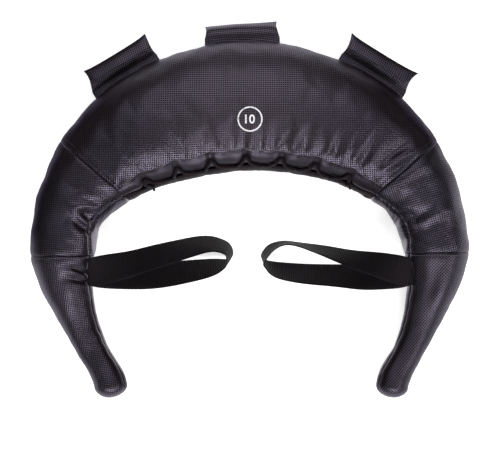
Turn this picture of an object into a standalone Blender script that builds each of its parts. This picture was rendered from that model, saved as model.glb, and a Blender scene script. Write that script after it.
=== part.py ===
"""A crescent-shaped training bag of embossed artificial leather, filled with sand and wadding.

The bag lies on its back with its front up (+Z) and its crown towards +Y. The origin is on the
floor, under the middle of its outline. Lengths are in metres, angles in radians.

Every cover, wadding and seam follows one spine, a smooth curve from the crown to each arm's tip.
A place on the bag is a station (the distance along the spine, negative on the left), an angle
round the section (0 at the inner edge, 90 degrees on top, 180 at the outer edge) and an inset
(the depth under the cover's outer face).
"""

import math

import bmesh
import bpy
import numpy as np
from mathutils import Vector

# Driving sizes of the bag

BAG_WIDTH = 0.600
BAG_DROP = 0.490
CROWN_WIDTH = 0.176
CROWN_DEPTH = 0.125
FLOOR_FLAT = 0.0035
TIP_ROUND = 0.016

# Stations along half of the spine, from the crown to the tip: shares of half the bag's width,
# of its drop, of the crown's width and of the crown's depth

CROWN_SHARES = (0.000, 0.000, 1.000, 1.000)
LOOP_SHARES = (0.304, 0.030, 0.954, 0.980)
HAUNCH_SHARES = (0.532, 0.091, 0.851, 0.920)
UPPER_SEAM_SHARES = (0.702, 0.181, 0.699, 0.800)
BEND_SHARES = (0.814, 0.290, 0.548, 0.710)
LOWER_SEAM_SHARES = (0.851, 0.428, 0.486, 0.630)
ARM_SHARES = (0.805, 0.561, 0.331, 0.460)
NECK_SHARES = (0.724, 0.688, 0.236, 0.345)
BULB_SHARES = (0.653, 0.771, 0.252, 0.360)
TIP_SHARES = (0.640, 0.820, 0.250, 0.360)
STATION_SHARES = (
    CROWN_SHARES, LOOP_SHARES, HAUNCH_SHARES, UPPER_SEAM_SHARES, BEND_SHARES,
    LOWER_SEAM_SHARES, ARM_SHARES, NECK_SHARES, BULB_SHARES, TIP_SHARES,
)
SECTION_FULLNESS = 2.3

# Cover, seams and filling

COVER_THICKNESS = 0.002
SEAM_GAP = 0.0003
INNER_SEAM_ANGLE = math.radians(34)
OUTER_SEAM_ANGLE = math.radians(180)
FULL_TURN = math.radians(360)
WADDING_SHARE = 0.32
FILLING_GAP = 0.0006
SAND_GAP = 0.0014
SAND_END_ROUND = 0.012
SAND_END_SHARES = (0.06, 0.25, 0.60, 1.00)
SAND_END_DRAW_SHARE = 0.6

# Laced closure along the inner edge of the centre section

HEM_WIDTH = 0.017
CLOSURE_GAP = 0.020
CLOSURE_TAPER_SHARE = 0.86
HOLE_EDGE_DISTANCE = 0.0056
HOLE_RADIUS = 0.0036
LACE_DIAMETER = 0.004
LACE_PITCH_SHARE = 0.078333
FRONT_HOLES = 7
TONGUE_THICKNESS = 0.0015
TONGUE_OVERLAP = 0.007
TONGUE_SLOPE = 0.009
WADDING_RISE_SHARES = (0.8, 1.5)
LACE_CLEARANCE = 0.0007
TONGUE_CLEARANCE = 0.0018
KNOT_RADIUS = 0.0046
LACE_END_GAP = 0.0004

# Top loops, sewn into the outer seam

LOOP_PLACE = 0.143
LOOP_WIDTH = 0.104
LOOP_WAIST = 0.009
LOOP_WAIST_SHARE = 0.45
LOOP_REACH = 0.0393
LOOP_PLY = 0.0014
LOOP_FULLNESS = 0.0062
LOOP_ROOT_GAP = 0.0004
LOOP_AXIS_STANDOFF = 0.0048
LOOP_TAB_DEPTH = 0.012
LOOP_BEND_LENGTH = 0.014
LOOP_ROUND_BACK = 0.00215
CENTRE_LOOP_DROOP = math.radians(62)
SIDE_LOOP_DROOP = math.radians(6)

# Webbing straps, sewn into the inner seam of the arms

STRAP_WIDTH = 0.040
STRAP_THICKNESS = 0.0018
STRAP_PLY_GAP = 0.0004
STRAP_ROOT_GAP = 0.0008
STRAP_AXIS_STANDOFF = 0.0060
STRAP_TAIL_DEPTH = 0.012
STRAP_PLACE = 0.0215
STRAP_REACH = 0.195
STRAP_SWAY = 0.040
STRAP_RISE = 0.060

# Steps of the meshes

NOTCH_STEP = 0.0005
LOOP_COLUMNS = 7
LOOP_BEND_STEPS = 24
PANEL_STEP = 0.034
SECTION_SIDES = 16
CLOSURE_SIDES = 32
CLOSURE_LOW_ANGLE = math.radians(-30)
CLOSURE_HIGH_ANGLE = math.radians(64)
LINE_MARGIN_SHARE = 0.4
LINE_STRETCH = 1.1
TIP_STEP_SHARES = (0.50, 0.82, 0.96, 1.00)
SPINE_SAMPLES = 500
SMALL_ANGLE = 0.002
MERGE_DISTANCE = 0.000001

SIDES = (("left", -1), ("right", 1))

# Finishes: the colour (linear red, green, blue) and the roughness

LEATHER = ((0.030, 0.025, 0.030), 0.45)
SMOOTH_LEATHER = ((0.034, 0.028, 0.034), 0.40)
TONGUE_CLOTH = ((0.075, 0.062, 0.064), 0.70)
LACE_BLACK = ((0.004, 0.004, 0.004), 0.70)
WEBBING_BLACK = ((0.006, 0.006, 0.007), 0.80)
WADDING_GREY = ((0.560, 0.530, 0.480), 0.95)
SAND_CLOTH = ((0.380, 0.310, 0.200), 0.90)


def clear_scene():
    for old in list(bpy.data.objects):
        bpy.data.objects.remove(old)


def give_material(obj, finish):
    colour, roughness = finish
    material = bpy.data.materials.new(obj.name)
    material.use_nodes = True
    shader = material.node_tree.nodes["Principled BSDF"]
    shader.inputs["Base Color"].default_value = (*colour, 1)
    shader.inputs["Roughness"].default_value = roughness
    shader.inputs["Metallic"].default_value = 0
    obj.data.materials.append(material)


def smooth_step(value):
    value = min(max(value, 0), 1)
    return value * value * (3 - 2 * value)


# The spine


def spine_table():
    """Samples of half of the spine: station, x, y, half width and half depth."""
    scale = np.array([BAG_WIDTH / 2, -BAG_DROP, CROWN_WIDTH / 2, CROWN_DEPTH / 2])
    rows = np.array(STATION_SHARES) * scale
    steps = np.hypot(*np.diff(rows[:, :2], axis=0).T)
    knots = np.concatenate([[0], np.cumsum(steps)])
    slopes = np.gradient(rows, knots, axis=0)
    slopes[0] = (1, 0, 0, 0)
    samples = []
    for at in np.linspace(0, knots[-1], SPINE_SAMPLES):
        span = min(np.searchsorted(knots, at, "right") - 1, len(knots) - 2)
        length = knots[span + 1] - knots[span]
        t = (at - knots[span]) / length
        samples.append(
            (2 * t**3 - 3 * t**2 + 1) * rows[span]
            + (t**3 - 2 * t**2 + t) * length * slopes[span]
            + (3 * t**2 - 2 * t**3) * rows[span + 1]
            + (t**3 - t**2) * length * slopes[span + 1]
        )
    samples = np.array(samples)
    walked = np.cumsum(np.hypot(*np.diff(samples[:, :2], axis=0).T))
    return np.column_stack([np.concatenate([[0], walked]), samples])


TABLE = spine_table()
SPINE_LENGTH = TABLE[-1, 0]
TABLE_HEADING = np.unwrap(np.arctan2(np.gradient(TABLE[:, 2]), np.gradient(TABLE[:, 1])))


def station_of(shares):
    """The station of one of the rows above."""
    place = np.array([shares[0] * BAG_WIDTH / 2, -shares[1] * BAG_DROP])
    return TABLE[np.hypot(*(TABLE[:, 1:3] - place).T).argmin(), 0]


UPPER_SEAM = station_of(UPPER_SEAM_SHARES)
LOWER_SEAM = station_of(LOWER_SEAM_SHARES)
ARM_BEND = station_of(BEND_SHARES)

# The outline's middle is the origin: the centre loop's top edge and the arms' tips are even


def loop_drop_reach(droop):
    """How far a loop that hangs down by this angle still stands out from the seam."""
    straight = LOOP_AXIS_STANDOFF + LOOP_BEND_LENGTH / 2
    return straight + (LOOP_REACH - straight) * math.cos(droop)


TIP_Y = TABLE[-1, 2]
CENTRE_LOOP_REACH = loop_drop_reach(CENTRE_LOOP_DROOP) + LOOP_ROUND_BACK
SPINE_TOP_Y = (CROWN_WIDTH / 2 + CENTRE_LOOP_REACH + TIP_Y) / -2


def spine_at(station):
    """(point, direction inwards, half width, half depth, centre height) at a station."""
    side = -1 if station < 0 else 1
    far = abs(station)
    x = side * np.interp(far, TABLE[:, 0], TABLE[:, 1])
    y = SPINE_TOP_Y + np.interp(far, TABLE[:, 0], TABLE[:, 2])
    heading = np.interp(far, TABLE[:, 0], TABLE_HEADING)
    half_width = np.interp(far, TABLE[:, 0], TABLE[:, 3])
    half_depth = np.interp(far, TABLE[:, 0], TABLE[:, 4])
    inwards = Vector((side * math.sin(heading), -math.cos(heading), 0))
    return Vector((x, y, 0)), inwards, half_width, half_depth, half_depth - FLOOR_FLAT


def tip_cap(station, inset):
    """The share of its full section that an arm still has this near its tip."""
    left = max(SPINE_LENGTH - abs(station) - inset, 0)
    share = min(left / (TIP_ROUND - min(inset, TIP_ROUND / 2)), 1)
    return math.sqrt(1 - (1 - share) ** 2)


def place(station, angle, inset=0.0):
    """A point of the bag."""
    point, inwards, half_width, half_depth, height = spine_at(station)
    cosine, sine = math.cos(angle), math.sin(angle)
    span = (abs(cosine) ** SECTION_FULLNESS + abs(sine) ** SECTION_FULLNESS) ** (
        1 / SECTION_FULLNESS
    )
    cap = tip_cap(station, inset)
    across = (half_width - inset) * cap * cosine / span
    up = (half_depth - inset) * cap * sine / span
    found = point + inwards * across
    found.z = max(height + up, inset)
    return found


def turn_by(station, angle, distance, inset=0.0):
    """The angle reached from this one after a distance round the section."""
    ahead = place(station, angle + SMALL_ANGLE, inset)
    behind = place(station, angle - SMALL_ANGLE, inset)
    rate = (ahead - behind).length / (2 * SMALL_ANGLE)
    most = INNER_SEAM_ANGLE / 2
    if rate * most < abs(distance):
        return angle + math.copysign(most, distance)
    return angle + distance / rate


def outward(station, angle):
    """The cover's outward direction at a point of it."""
    ahead = place(station, angle + SMALL_ANGLE)
    behind = place(station, angle - SMALL_ANGLE)
    along = ahead - behind
    _, inwards, *_ = spine_at(station)
    side = along.dot(inwards)
    return (inwards * along.z - Vector((0, 0, 1)) * side).normalized()


# Seam lines of the covers


def loop_spans():
    """The stretches of the outer seam that hold a top loop's tab, as pairs of stations."""
    return [span_of_loop(centre) for centre in (-LOOP_PLACE, 0, LOOP_PLACE)]


def span_of_loop(centre):
    """The first and last station of a loop whose middle is at this one."""
    middle = place(centre, OUTER_SEAM_ANGLE)
    ends = []
    for side in (-1, 1):
        near, far = centre, centre + side * LOOP_WIDTH / 2
        while abs(far - near) > MERGE_DISTANCE:
            half = (near + far) / 2
            if (place(half, OUTER_SEAM_ANGLE) - middle).length < LOOP_WIDTH / 2:
                near = half
            else:
                far = half
        ends.append(near)
    return ends


def strap_span(side):
    """The first and last station that a strap's tail takes of the inner seam."""
    start = LOWER_SEAM + STRAP_PLACE - STRAP_WIDTH / 2
    return sorted((side * start, side * (start + STRAP_WIDTH)))


LOOP_SPANS = loop_spans()
TAB_HALF = LOOP_PLY + LOOP_ROOT_GAP / 2
TAIL_HALF = STRAP_THICKNESS + STRAP_PLY_GAP / 2


def seam_half(station, spans, held_half):
    """Half the gap of a seam: wider where it holds a tab or a tail."""
    for start, end in spans:
        if start - SEAM_GAP <= station <= end + SEAM_GAP:
            return held_half + SEAM_GAP
    return SEAM_GAP / 2


def with_notches(stations, spans):
    """The stations, with a close pair added at each end of the spans that lie among them."""
    low, high = min(stations), max(stations)
    kept = list(stations)
    for start, end in spans:
        if low < start and end < high:
            edges = (start - SEAM_GAP, end + SEAM_GAP)
            kept = [s for s in kept if all(abs(s - edge) > PANEL_STEP / 5 for edge in edges)]
            kept += [edges[0] - NOTCH_STEP, edges[0], edges[1], edges[1] + NOTCH_STEP]
    return sorted(kept)


def even_stations(start, end, step=PANEL_STEP):
    return list(np.linspace(start, end, max(math.ceil((end - start) / step), 1) + 1))


def centre_stations(inset=0.0):
    end = UPPER_SEAM - SEAM_GAP / 2
    return with_notches(even_stations(-end, end), LOOP_SPANS)


def arm_stations(side, inset):
    """Stations of an arm from its seam to its tip, closer together at the tip."""
    start, steady = LOWER_SEAM + SEAM_GAP / 2, SPINE_LENGTH - TIP_ROUND
    found = with_notches(even_stations(start, steady), [strap_span(1)])
    found += [steady + (TIP_ROUND - inset) * share for share in TIP_STEP_SHARES]
    return [side * station for station in found]


# Angles of the closure's edges


def closure_taper(station):
    """One along the closure, falling to zero at the section's ends, where the hems meet."""
    start = UPPER_SEAM * CLOSURE_TAPER_SHARE
    return 1 - smooth_step((abs(station) - start) / (UPPER_SEAM - start))


def front_hem_top(station):
    return turn_by(station, INNER_SEAM_ANGLE, HEM_WIDTH)


def back_hem_edge(station):
    gap = SEAM_GAP + (CLOSURE_GAP - SEAM_GAP) * closure_taper(station)
    return turn_by(station, INNER_SEAM_ANGLE, -gap)


def back_hem_foot(station):
    return turn_by(station, back_hem_edge(station), -HEM_WIDTH)


def tongue_foot(station):
    return turn_by(station, back_hem_foot(station), -TONGUE_OVERLAP / 2)


def tongue_top(station):
    return turn_by(station, front_hem_top(station), TONGUE_OVERLAP)


# Solids


def section_lines(low, high, fine=False):
    """The fixed angles round the section between two others, the same for nested pieces."""
    sides = CLOSURE_SIDES if fine else SECTION_SIDES
    step = FULL_TURN / sides
    found = []
    for k in range(-sides, 2 * sides):
        angle = k * step
        turned = angle - FULL_TURN if angle > OUTER_SEAM_ANGLE else angle
        coarse = k % (sides // SECTION_SIDES) == 0
        if not coarse and not CLOSURE_LOW_ANGLE < turned < CLOSURE_HIGH_ANGLE:
            continue
        if low + LINE_MARGIN_SHARE * step < angle < high - LINE_MARGIN_SHARE * step:
            found.append(angle)
    return found


def filled(marks, counts):
    """The marks, with each gap between them split into equal steps."""
    found = marks[:1]
    for start, end, count in zip(marks, marks[1:], counts):
        found += [start + (end - start) * k / count for k in range(1, count + 1)]
    return found


def mesh_object(name, build, finish):
    """A mesh object whose bmesh is filled by the function build."""
    mesh = bpy.data.meshes.new(name)
    bm = bmesh.new()
    build(bm)
    bmesh.ops.remove_doubles(bm, verts=bm.verts, dist=MERGE_DISTANCE)
    bmesh.ops.recalc_face_normals(bm, faces=bm.faces)
    if bm.calc_volume(signed=True) < 0:
        bmesh.ops.reverse_faces(bm, faces=bm.faces)
    bm.to_mesh(mesh)
    bm.free()
    obj = bpy.data.objects.new(name, mesh)
    bpy.context.collection.objects.link(obj)
    give_material(obj, finish)
    mesh.shade_smooth()
    mesh.set_sharp_from_angle(angle=math.radians(40))
    return obj


def sheet_faces(bm, outer, inner):
    """One closed solid between two grids of points, with walls round their edges.

    Both grids are split along the same diagonals, so a twisted sheet keeps its thickness.
    """
    grids = [[[bm.verts.new(point) for point in row] for row in grid] for grid in (outer, inner)]
    rows, columns = len(outer), len(outer[0])
    for grid, turn in zip(grids, (1, -1)):
        for i in range(rows - 1):
            for j in range(columns - 1):
                corners = [grid[i][j], grid[i + 1][j], grid[i + 1][j + 1], grid[i][j + 1]]
                bm.faces.new([corners[k] for k in (0, 1, 2)[::turn]])
                bm.faces.new([corners[k] for k in (0, 2, 3)[::turn]])
    rim = [(i, 0) for i in range(rows)]
    rim += [(rows - 1, j) for j in range(1, columns)]
    rim += [(i, columns - 1) for i in range(rows - 2, -1, -1)]
    rim += [(0, j) for j in range(columns - 2, 0, -1)]
    for (i, j), (k, l) in zip(rim, rim[1:] + rim[:1]):
        wall = [grids[0][i][j], grids[1][i][j], grids[1][k][l], grids[0][k][l]]
        if k + l < i + j:
            wall = wall[1:] + wall[:1]
        bm.faces.new([wall[k] for k in (0, 1, 2)])
        bm.faces.new([wall[k] for k in (0, 2, 3)])


def pulled_apart(row, low, high, station):
    """At a tip the row's points are one point, moved off the seam that closes round it."""
    if (row[0] - row[len(row) // 2]).length > MERGE_DISTANCE * 10:
        return row
    _, inwards, *_ = spine_at(station)
    middle = (low + high) / 2
    shift = inwards * math.cos(middle) + Vector((0, 0, 1)) * math.sin(middle)
    return [point + shift * SEAM_GAP / 2 for point in row]


def shell(name, stations, low, high, outer, inner, finish, fine=False):
    """A curved sheet of the bag between two angles and two insets.

    stations gives the stations for an inset, and low and high give an angle for a station and
    an inset. outer and inner are pairs: the inset for a station and an angle, and its level.
    """
    full = [s for s in stations(0.0) if abs(s) < SPINE_LENGTH - TIP_ROUND]
    lines = section_lines(max(low(s, 0.0) for s in full), min(high(s, 0.0) for s in full), fine)

    step = FULL_TURN / SECTION_SIDES
    gaps = np.diff([[low(s, 0.0), *lines, high(s, 0.0)] for s in full]).max(axis=0)
    counts = np.ceil(gaps / (LINE_STRETCH * step)).astype(int)

    def grid(inset_of, level):
        rows = []
        for station in stations(level):
            first, last = low(station, level), high(station, level)
            angles = filled([first, *lines, last], counts)
            row = [place(station, angle, inset_of(station, angle)) for angle in angles]
            rows.append(pulled_apart(row, first, last, station))
        return rows

    def build(bm):
        sheet_faces(bm, grid(outer[0], outer[1]), grid(inner[0], inner[1]))

    return mesh_object(name, build, finish)


def flat(inset):
    """An inset that is the same everywhere, with its level."""
    return (lambda station, angle: inset), inset


def tube_solid(name, rings, finish):
    """A closed solid through rings of points, with a flat cap at each end."""

    def build(bm):
        loops = [[bm.verts.new(point) for point in ring] for ring in rings]
        count = len(rings[0])
        for first, second in zip(loops, loops[1:]):
            for k in range(count):
                after = (k + 1) % count
                bm.faces.new([first[k], first[after], second[after], second[k]])
        bm.faces.new(loops[0])
        bm.faces.new(loops[-1][::-1])

    return mesh_object(name, build, finish)


def cut(obj, cutters):
    """Takes hidden cutters out of a solid."""
    for cutter in cutters:
        cutter.hide_render = True
        cutter.display_type = "WIRE"
        modifier = obj.modifiers.new(cutter.name, "BOOLEAN")
        modifier.operation = "DIFFERENCE"
        modifier.object = cutter


# Cover panels


def cover(name, stations, low, high, fine=False):
    outer, inner = flat(0.0), flat(COVER_THICKNESS)
    return shell(name, stations, low, high, outer, inner, LEATHER, fine)


def outer_low(station, inset):
    half = seam_half(station, LOOP_SPANS, TAB_HALF)
    return turn_by(station, OUTER_SEAM_ANGLE, half, inset)


def outer_high(station, inset):
    half = seam_half(station, LOOP_SPANS, TAB_HALF)
    return turn_by(station, OUTER_SEAM_ANGLE, -half, inset)


def centre_front_low(station, inset):
    return turn_by(station, front_hem_top(station), SEAM_GAP, inset)


def centre_back_high(station, inset):
    return turn_by(station, back_hem_foot(station), -SEAM_GAP, inset) + FULL_TURN


def inner_high(station, inset):
    half = seam_half(station, [strap_span(-1), strap_span(1)], TAIL_HALF)
    return turn_by(station, INNER_SEAM_ANGLE, half, inset)


def inner_low(station, inset):
    half = seam_half(station, [strap_span(-1), strap_span(1)], TAIL_HALF)
    return turn_by(station, INNER_SEAM_ANGLE, -half, inset) + FULL_TURN


def make_covers():
    centre = centre_stations
    cover("front_centre_panel", centre, centre_front_low, outer_high, True)
    cover("back_centre_panel", centre, outer_low, centre_back_high, True)
    for word, side in SIDES:
        bounds = (UPPER_SEAM + SEAM_GAP / 2, LOWER_SEAM - SEAM_GAP / 2)
        stations = [side * s for s in even_stations(*bounds)]

        def shoulder(level):
            return stations

        cover(f"front_shoulder_panel_{word}", shoulder, inner_high, outer_high)
        cover(f"back_shoulder_panel_{word}", shoulder, outer_low, inner_low)

        def arm(level):
            return arm_stations(side, level)

        cover(f"front_arm_panel_{word}", arm, inner_high, outer_high)
        cover(f"back_arm_panel_{word}", arm, outer_low, inner_low)


# Filling


def wadding_inset(station, angle):
    """The wadding's outer inset: under the cover, and deeper where the closure's layers lie."""
    base = COVER_THICKNESS + FILLING_GAP
    turned = angle - FULL_TURN if angle > OUTER_SEAM_ANGLE else angle
    if abs(station) > UPPER_SEAM:
        return base
    foot, top = tongue_foot(station), tongue_top(station)
    foot_share, top_share = WADDING_RISE_SHARES
    margin = turn_by(station, foot, TONGUE_OVERLAP) - foot
    under_foot = smooth_step((turned - foot + margin) / (margin * foot_share))
    under_lace = smooth_step((turned - foot) / (turn_by(station, foot, TONGUE_SLOPE) - foot))
    past_top = smooth_step((top + 2 * margin - turned) / (margin * top_share))
    tongue = (TONGUE_THICKNESS + TONGUE_CLEARANCE) * under_foot
    lace = (LACE_DIAMETER + 2 * LACE_CLEARANCE) * under_lace
    return base + (tongue + lace) * past_top


def wadding_core(station):
    """The inset of the wadding's inner face."""
    half_depth = spine_at(station)[3]
    return COVER_THICKNESS + FILLING_GAP + WADDING_SHARE * half_depth


def wadding(name, stations, low, high, fine=False):
    outer = (wadding_inset, COVER_THICKNESS)
    inner = (lambda station, angle: wadding_core(station), COVER_THICKNESS)
    return shell(name, stations, low, high, outer, inner, WADDING_GREY, fine)


def full_turn():
    return [FULL_TURN * k / SECTION_SIDES for k in range(SECTION_SIDES)]


def wadding_front_low(station, inset):
    return turn_by(station, INNER_SEAM_ANGLE, SEAM_GAP, inset)


def wadding_back_high(station, inset):
    return turn_by(station, INNER_SEAM_ANGLE, -SEAM_GAP, inset) + FULL_TURN


def sand_bag(name, start, end, stations):
    """A sewn cloth bag of sand along the spine, with rounded ends."""
    ends = [SAND_END_ROUND * share for share in SAND_END_SHARES]
    inner = [s for s in stations if start + ends[-1] < s < end - ends[-1]]
    stations = [start + near for near in ends] + inner + [end - near for near in reversed(ends)]
    rings = []
    for station in stations:
        near = min(station - start, end - station, SAND_END_ROUND) / SAND_END_ROUND
        rounding = math.sqrt(1 - (1 - near) ** 2)
        half_depth = spine_at(station)[3]
        inset = wadding_core(station) + SAND_GAP
        inset += (half_depth - inset) * (1 - rounding) * SAND_END_DRAW_SHARE
        rings.append([place(station, angle, inset) for angle in full_turn()])
    tube_solid(name, rings, SAND_CLOTH)


def make_filling():
    end = UPPER_SEAM - SEAM_GAP / 2
    wadding("front_wadding_centre", centre_stations, wadding_front_low, outer_high, True)
    wadding("back_wadding_centre", centre_stations, outer_low, wadding_back_high, True)
    sand_bag("sand_bag_centre", -end, end, centre_stations())
    for word, side in SIDES:
        bounds = (UPPER_SEAM + SEAM_GAP / 2, LOWER_SEAM - SEAM_GAP / 2)
        stations = [side * s for s in even_stations(*bounds)]

        def shoulder(level):
            return stations

        wadding(f"front_wadding_{word}", shoulder, wadding_front_low, outer_high)
        wadding(f"back_wadding_{word}", shoulder, outer_low, wadding_back_high)
        sand_bag(f"sand_bag_{word}", *sorted(side * bound for bound in bounds), sorted(stations))
        make_arm_stuffing(word, side)


def make_arm_stuffing(word, side):
    inset = COVER_THICKNESS + FILLING_GAP
    stations = arm_stations(side, inset)[:-1]
    rings = [[place(station, angle, inset) for angle in full_turn()] for station in stations]
    stuffing = tube_solid(f"arm_stuffing_{word}", rings, WADDING_GREY)
    start, end = strap_span(side)
    room = seam_strip(
        f"tail_room_{word}", even_stations(start - SEAM_GAP, end + SEAM_GAP),
        INNER_SEAM_ANGLE, TAIL_HALF + SEAM_GAP, 0.0, STRAP_TAIL_DEPTH + SEAM_GAP, LEATHER,
    )
    cut(stuffing, [room])


# Pieces held in the seams


def seam_strip(name, stations, angle, half, top, depth, finish):
    """A flat strip that stands in a seam, from one inset down to another."""

    def grid(inset):
        rows = []
        for station in stations:
            edges = (turn_by(station, angle, -half, top), turn_by(station, angle, half, top))
            rows.append([place(station, edge, inset) for edge in edges])
        return rows

    def build(bm):
        sheet_faces(bm, grid(top), grid(depth))

    return mesh_object(name, build, finish)


def make_tabs():
    for word, (start, end) in zip(("left", "centre", "right"), LOOP_SPANS):
        seam_strip(
            f"top_loop_tab_{word}", even_stations(start, end, PANEL_STEP / 2),
            OUTER_SEAM_ANGLE, TAB_HALF, 0.0, LOOP_TAB_DEPTH, LEATHER,
        )
    for word, side in SIDES:
        start, end = strap_span(side)
        seam_strip(
            f"strap_tail_{word}", even_stations(start, end),
            INNER_SEAM_ANGLE, TAIL_HALF, 0.0, STRAP_TAIL_DEPTH, WEBBING_BLACK,
        )


# Closure


def hole_stations():
    """Stations of the front holes and of the back holes, evenly spaced along the hem's edge."""
    edge_length, edge = [0.0], [0.0]
    for station in even_stations(0, UPPER_SEAM, PANEL_STEP / 6)[1:]:
        step = place(station, INNER_SEAM_ANGLE) - place(edge[-1], INNER_SEAM_ANGLE)
        edge_length.append(edge_length[-1] + step.length)
        edge.append(station)

    def station_for(distance):
        return math.copysign(np.interp(abs(distance), edge_length, edge), distance)

    first = -(FRONT_HOLES - 1) / 2
    pitch = BAG_WIDTH * LACE_PITCH_SHARE
    front = [station_for(pitch * (first + k)) for k in range(FRONT_HOLES)]
    back = [station_for(pitch * (first + k - 1 / 2)) for k in range(FRONT_HOLES + 1)]
    return front, back


def on_facet(station, angle_at, inset):
    """A point of the centre section, on the flat faces between its mesh's stations.

    angle_at gives the point's angle for a station.
    """
    stations = centre_stations()
    after = min(max(np.searchsorted(stations, station), 1), len(stations) - 1)
    first, last = stations[after - 1], stations[after]
    share = (station - first) / (last - first)
    return place(first, angle_at(first), inset).lerp(place(last, angle_at(last), inset), share)


def hole_cutter(name, station, angle_at):
    centre = on_facet(station, angle_at, COVER_THICKNESS / 2)
    bpy.ops.mesh.primitive_cylinder_add(
        vertices=12, radius=HOLE_RADIUS, depth=4 * COVER_THICKNESS, location=centre
    )
    cutter = bpy.context.object
    cutter.name = name
    out = outward(station, angle_at(station))
    cutter.rotation_euler = out.to_track_quat("Z", "Y").to_euler()
    return cutter


def make_hems():
    front, back = hole_stations()
    faces = (flat(0.0), flat(COVER_THICKNESS))
    shell_of = {
        "front": shell(
            "front_hem", centre_stations,
            lambda station, inset: INNER_SEAM_ANGLE,
            lambda station, inset: front_hem_top(station),
            *faces, SMOOTH_LEATHER, True,
        ),
        "back": shell(
            "back_hem", centre_stations,
            lambda station, inset: back_hem_foot(station),
            lambda station, inset: back_hem_edge(station),
            *faces, SMOOTH_LEATHER, True,
        ),
    }
    for word, places in (("front", front), ("back", back)):
        cutters = []
        for number, station in enumerate(places, 1):
            up_from_edge = edge_angle(word, HOLE_EDGE_DISTANCE)
            cutters.append(hole_cutter(f"{word}_hole_{number}", station, up_from_edge))
        cut(shell_of[word], cutters)


def edge_angle(word, distance):
    """The angle this far in from a hem's edge, for a station."""
    if word == "front":
        return lambda station: turn_by(station, INNER_SEAM_ANGLE, distance)
    return lambda station: turn_by(station, back_hem_edge(station), -distance)


def tongue_inset(station, angle):
    foot = tongue_foot(station)
    slope = turn_by(station, foot, TONGUE_SLOPE) - foot
    lift = (LACE_DIAMETER + 2 * LACE_CLEARANCE) * smooth_step((angle - foot) / slope)
    return COVER_THICKNESS + 2 * SEAM_GAP + lift


def make_tongue():
    outer = (tongue_inset, COVER_THICKNESS)
    inner = (lambda s, a: tongue_inset(s, a) + TONGUE_THICKNESS, COVER_THICKNESS)
    shell(
        "closure_tongue", centre_stations,
        lambda station, inset: tongue_foot(station),
        lambda station, inset: tongue_top(station),
        outer, inner, TONGUE_CLOTH, True,
    )


# Where the lace goes at each hole, as shares of the hole's distance from the hem's edge: along
# the hem, up from the edge, and as insets in shares of the lace's diameter

OVER_EDGE_SHARES = (-0.75, 0.00, -0.62)
OVER_HEM_SHARES = (-0.25, 0.72, -0.66)
IN_HOLE_SHARES = (0.05, 1.00, 0.25)
UNDER_HEM_SHARES = (0.35, 0.72, 1.10)
UNDER_EDGE_SHARES = (0.85, -0.30, 1.05)
HOLE_PASS_SHARES = (
    OVER_EDGE_SHARES, OVER_HEM_SHARES, IN_HOLE_SHARES, UNDER_HEM_SHARES, UNDER_EDGE_SHARES,
)


def lace_pass(word, station, inwards):
    """The lace's points at one hole, on its way in or out through a hem."""
    points = []
    rows = HOLE_PASS_SHARES if inwards else HOLE_PASS_SHARES[::-1]
    for along, up, deep in rows:
        if not inwards:
            along = -along
        at = station + along * HOLE_EDGE_DISTANCE
        angle_at = edge_angle(word, up * HOLE_EDGE_DISTANCE)
        points.append(on_facet(at, angle_at, deep * LACE_DIAMETER))
    return points


def lace_route():
    front, back = hole_stations()
    route = lace_pass("back", back[0], True)[1:]
    for hole, partner in zip(front, back[1:]):
        route += lace_pass("front", hole, True)
        route += lace_pass("back", partner, False)
    return route[:-1]


def make_lace():
    route = lace_route()
    curve = bpy.data.curves.new("lace", "CURVE")
    curve.dimensions = "3D"
    curve.bevel_depth = LACE_DIAMETER / 2
    curve.bevel_resolution = 2
    curve.use_fill_caps = True
    spline = curve.splines.new("POLY")
    spline.points.add(len(route) - 1)
    for point, where in zip(spline.points, route):
        point.co = (*where, 1)
    lace = bpy.data.objects.new("lace", curve)
    bpy.context.collection.objects.link(lace)
    give_material(lace, LACE_BLACK)
    for word, end, before in (("left", route[0], route[1]), ("right", route[-1], route[-2])):
        make_knot(word, end, (end - before).normalized())


def make_knot(word, end, away):
    """The stopper knot at one end of the lace, a rounded lump past the cord's cut face."""

    def build(bm):
        bmesh.ops.create_icosphere(bm, subdivisions=2, radius=KNOT_RADIUS)

    knot = mesh_object(f"lace_knot_{word}", build, LACE_BLACK)
    knot.location = end + away * (KNOT_RADIUS + LACE_END_GAP)


# Top loops

LOOP_PROFILE_SHARES = (
    (0.00, 0.14), (0.14, 0.42), (0.32, 0.84), (0.52, 1.00), (0.72, 0.84), (0.89, 0.42), (1.00, 0.00),
)


def loop_frame(centre, span):
    """(origin on the hinge line, direction along it, outward direction) of a loop."""
    first, last = (place(station, OUTER_SEAM_ANGLE) for station in span)
    along = (last - first).normalized()
    out = Vector((-along.y, along.x, 0))
    furthest = max(
        (place(s, OUTER_SEAM_ANGLE) - first).dot(out) for s in even_stations(*span, PANEL_STEP / 4)
    )
    origin = (first + last) / 2
    origin += out * (furthest - (origin - first).dot(out) + LOOP_AXIS_STANDOFF)
    origin.z = spine_at(centre)[4]
    return origin, along, out


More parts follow.
